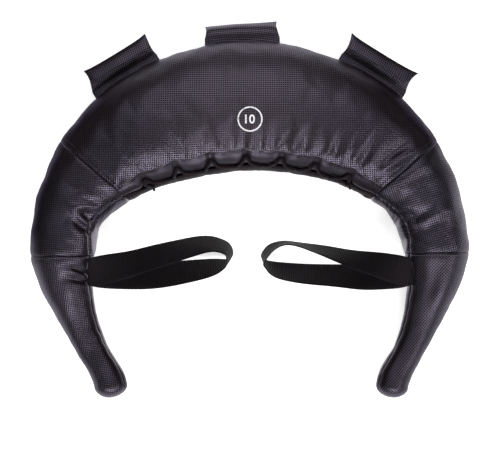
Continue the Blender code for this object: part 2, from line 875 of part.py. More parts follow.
def make_loop(word, centre, span, droop):
    """A flattened leather sleeve, folded over and sewn in by both edges."""
    origin, along, out = loop_frame(centre, span)
    reach = LOOP_REACH - LOOP_AXIS_STANDOFF
    edge = [place(s, OUTER_SEAM_ANGLE) - origin for s in even_stations(*span, PANEL_STEP / 4)]
    edge_t = [point.dot(along) for point in edge]
    edge_r = [point.dot(out) for point in edge]
    columns = np.linspace(-1, 1, LOOP_COLUMNS)

    def bent(distance):
        """The point and up direction this far past the hinge line, on the drooping middle."""
        where, step = Vector((0, 0)), distance / LOOP_BEND_STEPS
        for k in range(LOOP_BEND_STEPS):
            beta = -droop * smooth_step(step * (k + 1 / 2) / LOOP_BEND_LENGTH)
            where += Vector((math.cos(beta), math.sin(beta))) * step
        beta = -droop * smooth_step(distance / LOOP_BEND_LENGTH)
        return where, Vector((-math.sin(beta), math.cos(beta)))

    def half_length(share):
        off_waist = 2 * (share - LOOP_WAIST_SHARE)
        return LOOP_WIDTH / 2 - LOOP_WAIST * (1 - off_waist**2) / 2

    def point(column, radial, height):
        where = along * column + out * radial
        return origin + where + Vector((0, 0, height))

    def row(share, bulge, sign, offset):
        """One line of points across the loop, on the outer or inner face of a ply."""
        least = LOOP_ROOT_GAP / 2 + LOOP_PLY / 2
        height = sign * (least + (LOOP_FULLNESS - least) * bulge) if share < 1 else 0.0
        where, up = bent(share * reach)
        found = []
        for column in columns:
            middle = where + up * (height + sign * offset)
            if share == 1:
                forward = Vector((up.y, -up.x))
                middle = where + forward * offset
            found.append(point(column * half_length(share), middle.x, middle.y))
        return found

    def root(sign, offset):
        height = sign * (LOOP_ROOT_GAP / 2 + LOOP_PLY / 2) + sign * offset
        found = []
        for column in columns:
            t = column * half_length(0)
            found.append(point(t, np.interp(t, edge_t, edge_r) + LOOP_ROOT_GAP, height))
        return found

    def grid(offset):
        rows = [root(1, offset)]
        rows += [row(share, bulge, 1, offset) for share, bulge in LOOP_PROFILE_SHARES]
        rows += [row(share, bulge, -1, offset) for share, bulge in LOOP_PROFILE_SHARES[-2::-1]]
        return rows + [root(-1, offset)]

    def build(bm):
        sheet_faces(bm, grid(LOOP_PLY / 2), grid(-LOOP_PLY / 2))
        bmesh.ops.translate(bm, verts=bm.verts, vec=-origin)

    loop = mesh_object(f"top_loop_{word}", build, LEATHER)
    loop.location = origin
    return loop


def make_loops():
    droops = (SIDE_LOOP_DROOP, CENTRE_LOOP_DROOP, SIDE_LOOP_DROOP)
    centres = (-LOOP_PLACE, 0, LOOP_PLACE)
    for word, centre, span, droop in zip(("left", "centre", "right"), centres, LOOP_SPANS, droops):
        make_loop(word, centre, span, droop)


# Straps: rows of a band's route, from the upper end round the loop's far end to the lower end,
# as shares of the strap's reach, sway and rise, with the band's twist in degrees

LEFT_ROUTE_SHARES = (
    (0.06, 0.03, 1.030, 6), (0.294, 0.27, 1.030, 32), (0.561, 0.66, 0.950, 42),
    (0.828, 0.97, 0.720, 57), (0.940, 0.81, 0.570, 62), (1.000, 0.57, 0.430, 62),
    (0.940, 0.26, 0.300, 53), (0.792, 0.055, 0.265, 43), (0.561, -0.11, 0.310, 30),
    (0.336, -0.175, 0.500, 19), (0.060, -0.10, 0.900, 4),
)
RIGHT_ROUTE_SHARES = (
    (0.06, 0.05, 1.030, 8), (0.309, 0.34, 1.060, 46), (0.583, 0.66, 0.980, 66),
    (0.817, 0.90, 0.820, 80), (0.913, 0.755, 0.680, 76), (0.983, 0.525, 0.560, 70),
    (1.026, 0.34, 0.450, 68), (0.958, 0.08, 0.365, 66), (0.856, -0.075, 0.300, 52),
    (0.583, -0.16, 0.265, 43), (0.428, -0.19, 0.305, 37), (0.267, -0.19, 0.500, 24),
    (0.060, -0.10, 0.900, 5),
)
STRAP_STEPS = 3


def strap_frame(side):
    """(point on the seam, direction along it, outward direction) in the middle of a tail."""
    first, last = (place(station, INNER_SEAM_ANGLE) for station in strap_span(side)[::side])
    middle = side * (LOWER_SEAM + STRAP_PLACE)
    along = (first - last).normalized()
    out = outward(middle, INNER_SEAM_ANGLE)
    out = (out - along * out.dot(along)).normalized()
    seam = (first + last) / 2
    depth = (place(middle, INNER_SEAM_ANGLE) - seam).dot(out)
    return seam + out * max(depth, 0), along, out


def eased(rows, steps):
    """A smooth run of rows through the given ones."""
    rows = np.array(rows, float)
    ends = np.vstack([2 * rows[0] - rows[1], rows, 2 * rows[-1] - rows[-2]])
    found = []
    for k in range(1, len(ends) - 2):
        a, b, c, d = ends[k - 1 : k + 3]
        for t in np.arange(steps) / steps:
            found.append(
                0.5 * (2 * b + (c - a) * t + (2 * a - 5 * b + 4 * c - d) * t**2
                       + (3 * b - a - 3 * c + d) * t**3)
            )
    return np.array(found + [rows[-1]])


def make_strap(word, side, route):
    seam, along, out = strap_frame(side)
    axis = seam + out * STRAP_AXIS_STANDOFF
    ply = along.cross(out) * side * (STRAP_THICKNESS + STRAP_PLY_GAP) / 2
    root = seam + out * STRAP_ROOT_GAP
    middle = [(root + ply, along), (axis + ply, along)]
    for reach, sway, rise, twist in eased(route, STRAP_STEPS):
        point = Vector((axis.x - side * reach * STRAP_REACH, axis.y + sway * STRAP_SWAY, 0))
        point.z = rise * STRAP_RISE
        turned = math.radians(twist)
        middle.append((point, Vector((0, math.cos(turned), -math.sin(turned)))))
    middle += [(axis - ply, along), (root - ply, along)]
    upper, lower = [], []
    for k, (point, width) in enumerate(middle):
        before, after = middle[max(k - 1, 0)][0], middle[min(k + 1, len(middle) - 1)][0]
        forward = (after - before).normalized()
        width = (width - forward * width.dot(forward)).normalized()
        normal = forward.cross(width)
        thick = normal * STRAP_THICKNESS / 2
        row = [point - axis + width * STRAP_WIDTH * share for share in (-0.5, 0, 0.5)]
        upper.append([edge + thick for edge in row])
        lower.append([edge - thick for edge in row])
    strap = mesh_object(
        f"strap_{word}", lambda bm: sheet_faces(bm, upper, lower), WEBBING_BLACK
    )
    strap.location = axis


def make_straps():
    make_strap("left", -1, LEFT_ROUTE_SHARES)
    make_strap("right", 1, RIGHT_ROUTE_SHARES)


# Hinges of the arms, where they flex against the shoulders


def hang_arms():
    """Gives each arm's pieces an empty on their hinge line as their parent."""
    for word, side in SIDES:
        hinge = bpy.data.objects.new(f"arm_hinge_{word}", None)
        bpy.context.collection.objects.link(hinge)
        point, *_, height = spine_at(side * ARM_BEND)
        hinge.location = (point.x, point.y, height)
        for name in ("front_arm_panel", "back_arm_panel", "arm_stuffing", "strap_tail", "strap"):
            piece = bpy.data.objects[f"{name}_{word}"]
            piece.parent = hinge
            piece.location -= hinge.location


clear_scene()
make_covers()
make_filling()
make_tabs()
make_hems()
make_tongue()
make_lace()
make_loops()
make_straps()
hang_arms()
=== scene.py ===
# %% [markdown]
# # A crescent training bag
# The real bag is a crescent of embossed artificial leather, filled with sand and wadding. It lies
# on its back and is seen from straight above. This lesson dresses the imported frame with leather,
# seams, a laced closure, sewn loops and webbing. First the frame is loaded.

# %% Load the imported frame
import math

import bmesh
import bpy
import numpy as np
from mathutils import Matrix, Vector
from mathutils.bvhtree import BVHTree


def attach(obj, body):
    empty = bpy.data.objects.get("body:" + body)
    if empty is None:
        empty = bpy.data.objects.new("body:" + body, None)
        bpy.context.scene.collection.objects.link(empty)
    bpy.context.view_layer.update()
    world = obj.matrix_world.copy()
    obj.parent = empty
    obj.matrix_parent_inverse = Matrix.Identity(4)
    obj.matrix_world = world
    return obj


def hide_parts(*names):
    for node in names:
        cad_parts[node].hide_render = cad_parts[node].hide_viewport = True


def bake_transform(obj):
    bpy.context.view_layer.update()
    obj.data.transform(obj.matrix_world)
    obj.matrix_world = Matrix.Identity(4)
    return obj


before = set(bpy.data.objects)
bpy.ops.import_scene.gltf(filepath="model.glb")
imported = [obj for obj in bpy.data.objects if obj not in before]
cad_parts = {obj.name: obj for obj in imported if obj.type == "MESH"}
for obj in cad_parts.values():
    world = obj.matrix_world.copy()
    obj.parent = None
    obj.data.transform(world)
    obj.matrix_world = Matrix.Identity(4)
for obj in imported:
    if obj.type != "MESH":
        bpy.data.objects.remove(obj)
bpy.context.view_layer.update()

# %% [markdown]
# ## The spine
# Everything on the bag follows one curve, from the crown down to each arm's tip. A place is a
# station along that curve, an angle round the section (0 at the inner edge, 90 degrees on top,
# 180 at the outer edge) and a depth under the leather. The curve could be a Bezier object, but a
# table of numbers can be asked for thousands of points at once, which the fine sheets need.

# %% The table of the spine
BAG_WIDTH, BAG_DROP = 0.600, 0.490
CROWN_WIDTH, CROWN_DEPTH = 0.176, 0.125
SPINE_TOP_Y = 0.14347
FLOOR_FLAT = 0.0035
TIP_ROUND = 0.016
FULLNESS = 2.3
SPINE_SHARES = np.array([
    (0.000, 0.000, 1.000, 1.000), (0.304, 0.030, 0.954, 0.980), (0.532, 0.091, 0.851, 0.920),
    (0.702, 0.181, 0.699, 0.800), (0.814, 0.290, 0.548, 0.710), (0.851, 0.428, 0.486, 0.630),
    (0.805, 0.561, 0.331, 0.460), (0.724, 0.688, 0.236, 0.345), (0.653, 0.771, 0.252, 0.360),
    (0.640, 0.820, 0.250, 0.360),
])
UPPER_SEAM, LOWER_SEAM = 0.23487, 0.36802
SIDES = (("left", -1), ("right", 1))


def half_spine():
    """Samples of half of the spine: station, x, y, half width, half depth, heading."""
    rows = SPINE_SHARES * (BAG_WIDTH / 2, -BAG_DROP, CROWN_WIDTH / 2, CROWN_DEPTH / 2)
    knots = np.concatenate([[0], np.cumsum(np.hypot(*np.diff(rows[:, :2], axis=0).T))])
    slopes = np.gradient(rows, knots, axis=0)
    slopes[0] = (1, 0, 0, 0)
    at = np.linspace(0, knots[-1], 500)
    span = np.clip(np.searchsorted(knots, at, "right") - 1, 0, len(knots) - 2)
    length = (knots[span + 1] - knots[span])[:, None]
    t = (at - knots[span])[:, None] / length
    found = (2 * t**3 - 3 * t**2 + 1) * rows[span] + (t**3 - 2 * t**2 + t) * length * slopes[span]
    found += (3 * t**2 - 2 * t**3) * rows[span + 1] + (t**3 - t**2) * length * slopes[span + 1]
    walked = np.concatenate([[0], np.cumsum(np.hypot(*np.diff(found[:, :2], axis=0).T))])
    heading = np.unwrap(np.arctan2(np.gradient(found[:, 1]), np.gradient(found[:, 0])))
    return np.column_stack([walked, found, heading])


SPINE = half_spine()
SPINE_LENGTH = SPINE[-1, 0]
print("half spine", round(SPINE_LENGTH, 4), "m")

# %% Points of the leather's outer face
INNER_SEAM, OUTER_SEAM, FULL_TURN = math.radians(34), math.radians(180), math.radians(360)
NUDGE = 0.002
# the real bag isn't quite even: (station, mm to the right), and (station, mm wider at the
# inner edge)
SWAY = np.array([
    (-0.54, 2.6), (-0.50, 1.0), (-0.40, -1.3), (-0.30, -1.5), (-0.15, 0), (0.15, 0), (0.30, 2.0),
    (0.40, 3.0), (0.50, 3.6), (0.54, 4.0),
])
INNER_FIT = np.array([
    (-0.30, 0), (-0.22, 0.8), (-0.15, 1.4), (-0.08, 1.0), (0, 0), (0.04, -1.2), (0.10, -2.4),
    (0.17, -3.0), (0.24, -2.0), (0.30, 0),
])
MM = 0.001


def spine(station):
    """x, y, the direction inwards (x, y), half width, half depth and centre height."""
    side = np.where(np.asarray(station) < 0, -1.0, 1.0)
    columns = [np.interp(np.abs(station), SPINE[:, 0], SPINE[:, k]) for k in range(1, 6)]
    x, y, half_width, half_depth, heading = columns
    x = side * x + MM * np.interp(station, *SWAY.T)
    inwards = side * np.sin(heading), -np.cos(heading)
    return x, y + SPINE_TOP_Y, *inwards, half_width, half_depth, half_depth - FLOOR_FLAT


def skin(station, angle, inset=0.0):
    """Points of the bag for stations, angles and insets."""
    station, angle, inset = np.broadcast_arrays(station, angle, inset)
    x, y, in_x, in_y, half_width, half_depth, height = spine(station)
    cosine, sine = np.cos(angle), np.sin(angle)
    span = (np.abs(cosine) ** FULLNESS + np.abs(sine) ** FULLNESS) ** (1 / FULLNESS)
    left = np.maximum(SPINE_LENGTH - np.abs(station) - inset, 0)
    share = np.minimum(left / (TIP_ROUND - np.minimum(inset, TIP_ROUND / 2)), 1)
    cap = np.sqrt(1 - (1 - share) ** 2)
    across = (half_width - inset) * cap * cosine / span
    across = across + MM * np.interp(station, *INNER_FIT.T) * np.maximum(cosine, 0) * cap
    up = (half_depth - inset) * cap * sine / span
    return np.stack([x + in_x * across, y + in_y * across, np.maximum(height + up, inset)], -1)


def turn(station, angle, distance, inset=0.0):
    """The angle reached after a distance round the section."""
    ahead, behind = skin(station, angle + NUDGE, inset), skin(station, angle - NUDGE, inset)
    rate = np.linalg.norm(ahead - behind, axis=-1) / (2 * NUDGE)
    most = INNER_SEAM / 2
    short = rate * most < np.abs(distance)
    return angle + np.where(short, np.sign(distance) * most, distance / np.maximum(rate, 1e-9))


def outward(station, angle):
    """The leather's outward direction."""
    most = SPINE_LENGTH - TIP_ROUND / 8
    station = np.clip(station, -most, most)
    along = skin(station, angle + NUDGE) - skin(station, angle - NUDGE)
    _, _, in_x, in_y, *_ = spine(station)
    side = along[..., 0] * in_x + along[..., 1] * in_y
    found = np.stack([in_x * along[..., 2], in_y * along[..., 2], -side], -1)
    return found / np.linalg.norm(found, axis=-1, keepdims=True)


# %% [markdown]
# ## Camera, floor and light
# The picture is taken from straight above with a long lens. One pixel of a 500 x 450 picture is
# 1.37 mm at the height of the bag's widest line. The floor is pale. Four soft lamps light the bag:
# the main one on the side of the arms, because the broad sheen lies on the lower half of the
# crescent, one overhead, and two weaker ones at the left and the right for the arms. Each is a
# distant lamp as wide as a large softbox, so the floor is lit evenly, where near lamps would fall
# off across it. Together they light a white sheet almost fully, so colours render as written, and
# the room round them is left dark.

# %% Camera
PIXEL, PHOTO_MIDDLE = 0.00137, (249, 210.75)
PICTURE_WIDTH, PICTURE_MIDDLE = 500, (250, 225)
WIDEST_HEIGHT, CAMERA_DISTANCE, SENSOR = 0.059, 3.5, 36


def photo_place(pixels):
    """Places (x, y) on the bag for pixels of the picture."""
    return (np.asarray(pixels, float) - PHOTO_MIDDLE) * (PIXEL, -PIXEL)


def into_scene(name, data):
    """A new object in the scene."""
    made = bpy.data.objects.new(name, data)
    bpy.context.scene.collection.objects.link(made)
    return made


camera_data = bpy.data.cameras.new("camera")
camera_data.sensor_width = SENSOR
camera_data.lens = SENSOR * CAMERA_DISTANCE / (PICTURE_WIDTH * PIXEL)
camera_data.clip_end = 50
camera = into_scene("camera", camera_data)
camera.location = (*photo_place(PICTURE_MIDDLE), WIDEST_HEIGHT + CAMERA_DISTANCE)
bpy.context.scene.camera = camera
bpy.context.scene.view_settings.view_transform = "Standard"
print("lens", round(camera_data.lens, 1), "mm")


# %% Short ways to wire shader nodes
def join(tree, value, socket):
    """Links a socket to another one, or sets it to a plain value or an (r, g, b) colour."""
    if isinstance(value, bpy.types.NodeSocket):
        tree.links.new(value, socket)
    else:
        socket.default_value = (*value, 1) if socket.type == "RGBA" else value


def add(tree, kind, inputs=(), **settings):
    """A new node, with its inputs set to values or joined to other sockets."""
    made = tree.nodes.new("ShaderNode" + kind)
    for name, value in settings.items():
        setattr(made, name, value)
    for name, value in dict(inputs).items():
        join(tree, value, made.inputs[name])
    return made


def maths(tree, operation, *values):
    """The result of a sum of numbers or sockets."""
    return add(tree, "Math", dict(enumerate(values)), operation=operation).outputs[0]


def vectors(tree, operation, *values, **more):
    """The result of a sum of vectors: a number for a distance or a dot product."""
    made = add(tree, "VectorMath", dict(enumerate(values)) | more, operation=operation)
    return made.outputs["Value" if operation in ("DISTANCE", "DOT_PRODUCT") else 0]


def soft_steps(tree, value, low, high, out_low=0.0, out_high=1.0):
    """A value eased from one range to another."""
    ends = {"From Min": low, "From Max": high, "To Min": out_low, "To Max": out_high}
    made = add(tree, "MapRange", {"Value": value} | ends, interpolation_type="SMOOTHSTEP")
    return made.outputs[0]


def mixed(tree, share, first, second):
    """Two colours mixed by a share."""
    return add(tree, "Mix", {0: share, 6: first, 7: second}, data_type="RGBA").outputs[2]


def noise(tree, place, scale, detail):
    inputs = {"Vector": place, "Scale": scale, "Detail": detail}
    return add(tree, "TexNoise", inputs).outputs["Fac"]


def bump(tree, height, distance, strength=1.0, **more):
    """A normal that leans as a height of so many metres asks."""
    inputs = {"Height": height, "Distance": distance, "Strength": strength, **more}
    return add(tree, "Bump", inputs).outputs[0]


def in_space(tree):
    """A point's place in the room, in metres."""
    return add(tree, "TexCoord").outputs["Object"]


def on_pattern(tree):
    """A point's place on its piece's flat pattern, in metres."""
    return add(tree, "UVMap", uv_map="pattern").outputs[0]


# %% Materials, and node groups that they share
MATERIALS = {}


def wire(tree, shader, **sockets):
    """Joins or sets a shader's sockets. An underscore stands for a space."""
    for label, value in sockets.items():
        join(tree, value, shader.inputs[label.replace("_", " ")])


def material(name, **plain):
    """(node tree, shader) of a new material, with plain values on its shader's own sockets."""
    made = MATERIALS[name] = bpy.data.materials.new(name)
    made.use_nodes = True
    shader = made.node_tree.nodes["Principled BSDF"]
    wire(made.node_tree, shader, **plain)
    return made.node_tree, shader


def dye(piece, name):
    """Gives a piece one of the materials."""
    piece.data.materials.clear()
    piece.data.materials.append(MATERIALS[name])


def dress(piece, dyed, body=None):
    """Dyes a piece, which stands for the CAD node of its name, and lets it ride on a body."""
    dye(piece, dyed)
    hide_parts(piece.name.removeprefix("dressed_"))
    if body:
        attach(piece, body)
    return piece


def group(name, numbers, output):
    """A node group from a place and some numbers: (tree, its inputs, the socket it puts out)."""
    tree = bpy.data.node_groups.new(name, "ShaderNodeTree")
    tree.interface.new_socket("Place", in_out="INPUT", socket_type="NodeSocketVector")
    for label, value in numbers.items():
        socket = tree.interface.new_socket(label, in_out="INPUT", socket_type="NodeSocketFloat")
        socket.default_value = value
    tree.interface.new_socket(output, in_out="OUTPUT", socket_type="NodeSocketFloat")
    made = tree.nodes.new("NodeGroupInput"), tree.nodes.new("NodeGroupOutput")
    return tree, made[0].outputs, made[1].inputs[output]


def use_group(tree, name, **inputs):
    """What a node group puts out, placed with its own values."""
    return add(tree, "Group", inputs, node_tree=bpy.data.node_groups[name]).outputs[0]


# %% Floor, lamps and surroundings
FLOOR_HALF = 20

tree, shader = material("floor", Roughness=0.9, Specular_IOR_Level=0.0)
shade = add(tree, "TexNoise", {"Scale": 3.0, "Detail": 3.0}).outputs["Fac"]
wire(tree, shader, Base_Color=mixed(tree, shade, (0.93, 0.93, 0.93), (0.955, 0.955, 0.955)))
rays = add(tree, "LightPath").outputs
seen = maths(tree, "MAXIMUM", rays["Is Camera Ray"], rays["Is Glossy Ray"])
seen = maths(tree, "MAXIMUM", seen, rays["Is Transmission Ray"])
lit = add(tree, "Emission", {"Color": (1, 1, 1), "Strength": 0.65})
nothing = add(tree, "Emission", {"Strength": 0.0})
only_seen = add(tree, "MixShader", {0: seen, 1: nothing.outputs[0], 2: lit.outputs[0]})
both = add(tree, "AddShader", {0: shader.outputs[0], 1: only_seen.outputs[0]})
wire(tree, tree.nodes["Material Output"], Surface=both.outputs[0])

floor_mesh = bpy.data.meshes.new("floor")
corners = [(x * FLOOR_HALF, y * FLOOR_HALF, 0) for x, y in ((-1, -1), (1, -1), (1, 1), (-1, 1))]
floor_mesh.from_pydata(corners, [], [(0, 1, 2, 3)])
floor = into_scene("floor", floor_mesh)
dye(floor, "floor")

world = bpy.context.scene.world = bpy.data.worlds.new("room")
world.use_nodes = True
tree = world.node_tree
room = add(tree, "Background", {"Color": (0.92, 0.95, 1.0), "Strength": 0.04})
wire(tree, tree.nodes["World Output"], Surface=room.outputs[0])

# place, strength and width in degrees
LAMPS = {
    "soft_front_lamp": ((0.12, -1.0, 0.74), 2.2, 28),
    "soft_top_lamp": ((0.0, 0.7, 1.3), 1.4, 50),
    "soft_left_lamp": ((-0.8, -0.45, 0.85), 0.26, 22),
    "soft_right_lamp": ((0.85, -0.4, 0.80), 1.0, 20),
}
for name, (place, strength, width) in LAMPS.items():
    data = bpy.data.lights.new(name, "SUN")
    data.energy, data.angle = strength, math.radians(width)
    lamp = into_scene(name, data)
    lamp.location = place
    lamp.rotation_euler = Vector(place).to_track_quat("Z", "Y").to_euler()
print(len(LAMPS), "lamps")

# %% [markdown]
# ## The embossed leather
# The cover is black-brown artificial leather, pressed with a fine grid of square pits about 3 mm
# apart. The raised walls between them are glossier and catch the light, and the pits are painted
# near black, as painted shade in their hollows.
# The grid could be modelled, but at this size a pattern in the material is lighter and just as
# good. It is a node group, because the covers, the loops and the hems all use it. It reads the
# "pattern" map, which holds each panel's flat shape in metres, so the pits keep their size.
# The crown is painted a lighter brown round one place: a painted pool of light. The outer band
# high up and the inner halves of the arms have lost their gloss, and the strip that turns under at
# the inner edge is smooth and painted paler, as a painted sheen.

# %% Node groups: the pressed grid, handling marks and a weave
GRAIN_PITCH, GRAIN_WALL, GRAIN_DRIFT = 0.0030, 0.36, 0.0016

tree, inside, out = group("pressed grid", {"Pitch": GRAIN_PITCH, "Wall": GRAIN_WALL}, "Pit")
wobble = add(tree, "TexNoise", {"Vector": inside["Place"], "Scale": 55.0, "Detail": 2.0})
drift = vectors(tree, "SUBTRACT", wobble.outputs["Color"], (0.5, 0.5, 0.5))
drift = vectors(tree, "SCALE", drift, Scale=GRAIN_DRIFT)
cells = maths(tree, "DIVIDE", 1.0, inside["Pitch"])
scaled = vectors(tree, "SCALE", vectors(tree, "ADD", inside["Place"], drift), Scale=cells)
split = add(tree, "SeparateXYZ", {0: scaled}).outputs
start = maths(tree, "SUBTRACT", 0.5, inside["Wall"])
walls = []
for axis in ("X", "Y"):
    off_middle = maths(tree, "SUBTRACT", maths(tree, "FRACT", split[axis]), 0.5)
    walls.append(soft_steps(tree, maths(tree, "ABSOLUTE", off_middle), start, 0.5))
join(tree, maths(tree, "SUBTRACT", 1.0, maths(tree, "MAXIMUM", *walls)), out)

tree, inside, out = group("handling marks", {"Size": 9.0}, "Mark")
broad = noise(tree, inside["Place"], inside["Size"], 4.0)
join(tree, soft_steps(tree, broad, 0.35, 0.68), out)

tree, inside, out = group("weave", {"Scale": 300.0, "Distortion": 0.5}, "Thread")
waves = {"Vector": inside["Place"], "Scale": inside["Scale"], "Distortion": inside["Distortion"]}
threads = [add(tree, "TexWave", waves, bands_direction=way).outputs["Fac"] for way in ("X", "Y")]
join(tree, maths(tree, "MAXIMUM", *threads), out)

# %% Embossed cover leather
LEATHER_BROWN, LEATHER_BLACK = (0.0096, 0.0054, 0.0058), (0.0046, 0.0030, 0.0036)
# a painted pool of light on the crown: its colour, its middle and its reach in metres
PAINTED_LIGHT_BROWN, PAINTED_LIGHT_PLACE, PAINTED_LIGHT_REACH = (0.0420, 0.0310, 0.0345), (-0.01, 0.16, 0.11), 0.19
# painted shade in the pits, and a painted sheen on the strip that faces inwards
PAINTED_PIT_SHADE, PAINTED_SHEEN_STRIP = (0.0012, 0.0009, 0.0012), (0.1500, 0.1300, 0.1600)
WALL_GLOSS, WALL_ROUGHNESS = 0.90, 0.29

tree, shader = material(
    "cover leather", Diffuse_Roughness=0.3, Specular_IOR_Level=WALL_GLOSS,
    Specular_Tint=(0.83, 0.74, 1.0),
)
place = in_space(tree)
mark = use_group(tree, "handling marks", Place=place, Size=9.0)
grid = use_group(tree, "pressed grid", Place=on_pattern(tree), Pitch=GRAIN_PITCH, Wall=GRAIN_WALL)
# the crown is painted lighter round one place, as a painted pool of light
away = vectors(tree, "DISTANCE", place, PAINTED_LIGHT_PLACE)
painted_light_share = soft_steps(tree, away, 0.02, PAINTED_LIGHT_REACH, 1.0, 0.0)
wall_colour = mixed(tree, mark, LEATHER_BROWN, LEATHER_BLACK)
wall_colour = mixed(tree, painted_light_share, wall_colour, PAINTED_LIGHT_BROWN)

# how far the leather faces away from the crescent's hollow: 1 is outwards, -1 inwards
from_hollow = vectors(tree, "SUBTRACT", place, (0.0, -0.02, 0.0))
from_hollow = vectors(tree, "MULTIPLY", from_hollow, (1.0, 1.0, 0.0))
from_hollow = vectors(tree, "NORMALIZE", from_hollow)
outside = vectors(tree, "DOT_PRODUCT", from_hollow, add(tree, "TexCoord").outputs["Normal"])
axes = add(tree, "SeparateXYZ", {0: place}).outputs
slant = maths(tree, "MULTIPLY_ADD", axes["X"], -0.22, axes["Y"])
dull = soft_steps(tree, outside, 0.24, 0.72, 0.0, 0.99)
dull.node.name = "outer band"
dull = maths(tree, "MULTIPLY", dull, soft_steps(tree, away, 0.06, 0.20))
dull = maths(tree, "MULTIPLY", dull, soft_steps(tree, slant, -0.06, 0.04))
dull_inside = soft_steps(tree, outside, -0.80, 0.15, 0.80, 0.0)
on_arms = soft_steps(tree, axes["Y"], -0.13, -0.07, 1.0, 0.0)
dull_inside = maths(tree, "MULTIPLY", dull_inside, on_arms)
polish = maths(tree, "SUBTRACT", 1.0, maths(tree, "MAXIMUM", dull, dull_inside))
# the strip that faces inwards is painted pale, as a painted sheen
painted_sheen_share = soft_steps(tree, outside, -0.95, -0.78, 0.90, 0.0)
wall_colour = mixed(tree, painted_sheen_share, wall_colour, PAINTED_SHEEN_STRIP)
pit = maths(tree, "MULTIPLY", grid, soft_steps(tree, outside, -0.92, -0.68))
worn = maths(tree, "MULTIPLY_ADD", mark, 0.05, WALL_ROUGHNESS)
pressed = bump(tree, maths(tree, "SUBTRACT", 1.0, pit), 0.0005, 0.36)
# painted black as painted shade in its hollow, and metallic, a pit gives back next to nothing, and
# unlike its gloss this can be baked
wire(
    tree, shader,
    Base_Color=mixed(tree, pit, wall_colour, PAINTED_PIT_SHADE),
    Roughness=maths(tree, "MULTIPLY_ADD", pit, 0.25, worn),
    Metallic=maths(tree, "MULTIPLY", pit, 0.87),
    Specular_IOR_Level=maths(tree, "MULTIPLY", polish, WALL_GLOSS),
    Normal=bump(tree, noise(tree, place, 700.0, 3.0), 0.0002, 0.4, Normal=pressed),
)
print("cover leather: pits every", GRAIN_PITCH, "m")

# %% [markdown]
# ## Sheets
# Each panel of the cover is a fine grid of points on the leather's outer face. Numpy makes the
# grid and the mesh takes it in one call, which is far quicker than adding faces one by one. Each
# edge that is sewn gets one more row, turned down into the seam, as the real allowance is.

# %% Helpers: grids, directions and meshes
def running(points, axis):
    """The distance walked along an axis of a grid, from its first row or column."""
    steps = np.linalg.norm(np.diff(points, axis=axis), axis=-1)
    start = np.zeros_like(np.take(steps, [0], axis=axis))
    return np.concatenate([start, np.cumsum(steps, axis=axis)], axis=axis)


def facing(points):
    """Unit normals of a grid of points."""
    normals = np.cross(np.gradient(points, axis=0), np.gradient(points, axis=1))
    return normals / np.maximum(np.linalg.norm(normals, axis=-1, keepdims=True), 1e-12)


def even_angles(stations, low, high, columns):
    """Angles that split each section from low to high into even steps of length."""
    most = SPINE_LENGTH - TIP_ROUND / 4
    fine = low[:, None] + (high - low)[:, None] * np.linspace(0, 1, 181)
    walked = running(skin(np.clip(stations, -most, most)[:, None], fine), 1)
    even = walked[:, -1:] * np.linspace(0, 1, columns)
    return np.array([np.interp(e, w, f) for e, w, f in zip(even, walked, fine)])


def flat_pattern(stations, angles, middle):
    """Where each point of a panel lies on its flat pattern, unrolled from a middle angle."""
    most = SPINE_LENGTH - TIP_ROUND / 4
    walked = running(skin(np.clip(stations, -most, most)[:, None], angles), 1)
    zero = np.array([np.interp(middle, a, w) for a, w in zip(angles, walked)])
    unrolled = (walked - zero[:, None]) * (-1 if middle < OUTER_SEAM else 1)
    x, y, in_x, in_y, *_ = (row[:, None] for row in spine(stations))
    return np.stack([x + in_x * unrolled, y + in_y * unrolled], -1)


def turned(pattern, degrees):
    """A flat pattern, turned on the hide before it is cut."""
    c, s = math.cos(math.radians(degrees)), math.sin(math.radians(degrees))
    x, y = pattern[..., 0], pattern[..., 1]
    return np.stack([x * c - y * s, x * s + y * c], -1)


def piece_of(name, points, faces, pattern, merge=0.00001):
    """A mesh object of grids of points and of a flat pattern, and of faces."""
    mesh = bpy.data.meshes.new(name)
    mesh.from_pydata(points.reshape(-1, 3).tolist(), [], faces.tolist())
    corners = np.empty(len(mesh.loops), np.int32)
    mesh.loops.foreach_get("vertex_index", corners)
    flat = pattern.reshape(-1, 2)[corners].astype(np.float32)
    mesh.uv_layers.new(name="pattern").uv.foreach_set("vector", flat.ravel())
    bm = bmesh.new()
    bm.from_mesh(mesh)
    bmesh.ops.remove_doubles(bm, verts=bm.verts, dist=merge)
    bm.to_mesh(mesh)
    bm.free()
    mesh.shade_smooth()
    return into_scene(f"dressed_{name}" if name in bpy.data.objects else name, mesh)


def outward_faces(piece):
    """Turns a closed piece's faces outwards."""
    bm = bmesh.new()
    bm.from_mesh(piece.data)
    bmesh.ops.recalc_face_normals(bm, faces=bm.faces)
    bm.to_mesh(piece.data)
    bm.free()
    return piece


def numbered(points):
    """The number of each point of a grid."""
    return np.arange(points.shape[0] * points.shape[1]).reshape(points.shape[:2])


def quads(index, wrap=False):
    """Faces between the neighbours of a grid of point numbers."""
    if wrap:
        index = np.concatenate([index, index[:, :1]], axis=1)
    corners = [index[:-1, :-1], index[1:, :-1], index[1:, 1:], index[:-1, 1:]]
    return np.stack(corners, -1).reshape(-1, 4)


def outer_quads(points, outside):
    """Faces of a grid, turned to a rough outward direction that is given for each point."""
    faces = quads(numbered(points))
    return faces[:, ::-1] if (facing(points) * outside).sum() < 0 else faces


def plate(name, outer, inner, pattern):
    """A closed sheet between two grids of points."""
    columns = outer.shape[1]
    points = np.concatenate([outer, inner[:, ::-1]], axis=1)
    index = numbered(points)
    faces = [quads(index, wrap=True)]
    for row, order in ((0, 1), (-1, -1)):
        near, far = index[row, :columns], index[row, columns:][::-1]
        faces.append(np.stack([near[:-1], near[1:], far[1:], far[:-1]], -1)[:, ::order])
    flat = np.concatenate([pattern, pattern[:, ::-1]], axis=1)
    made = outward_faces(piece_of(name, points, np.concatenate(faces), flat))
    made.data.set_sharp_from_angle(angle=math.radians(50))
    return made
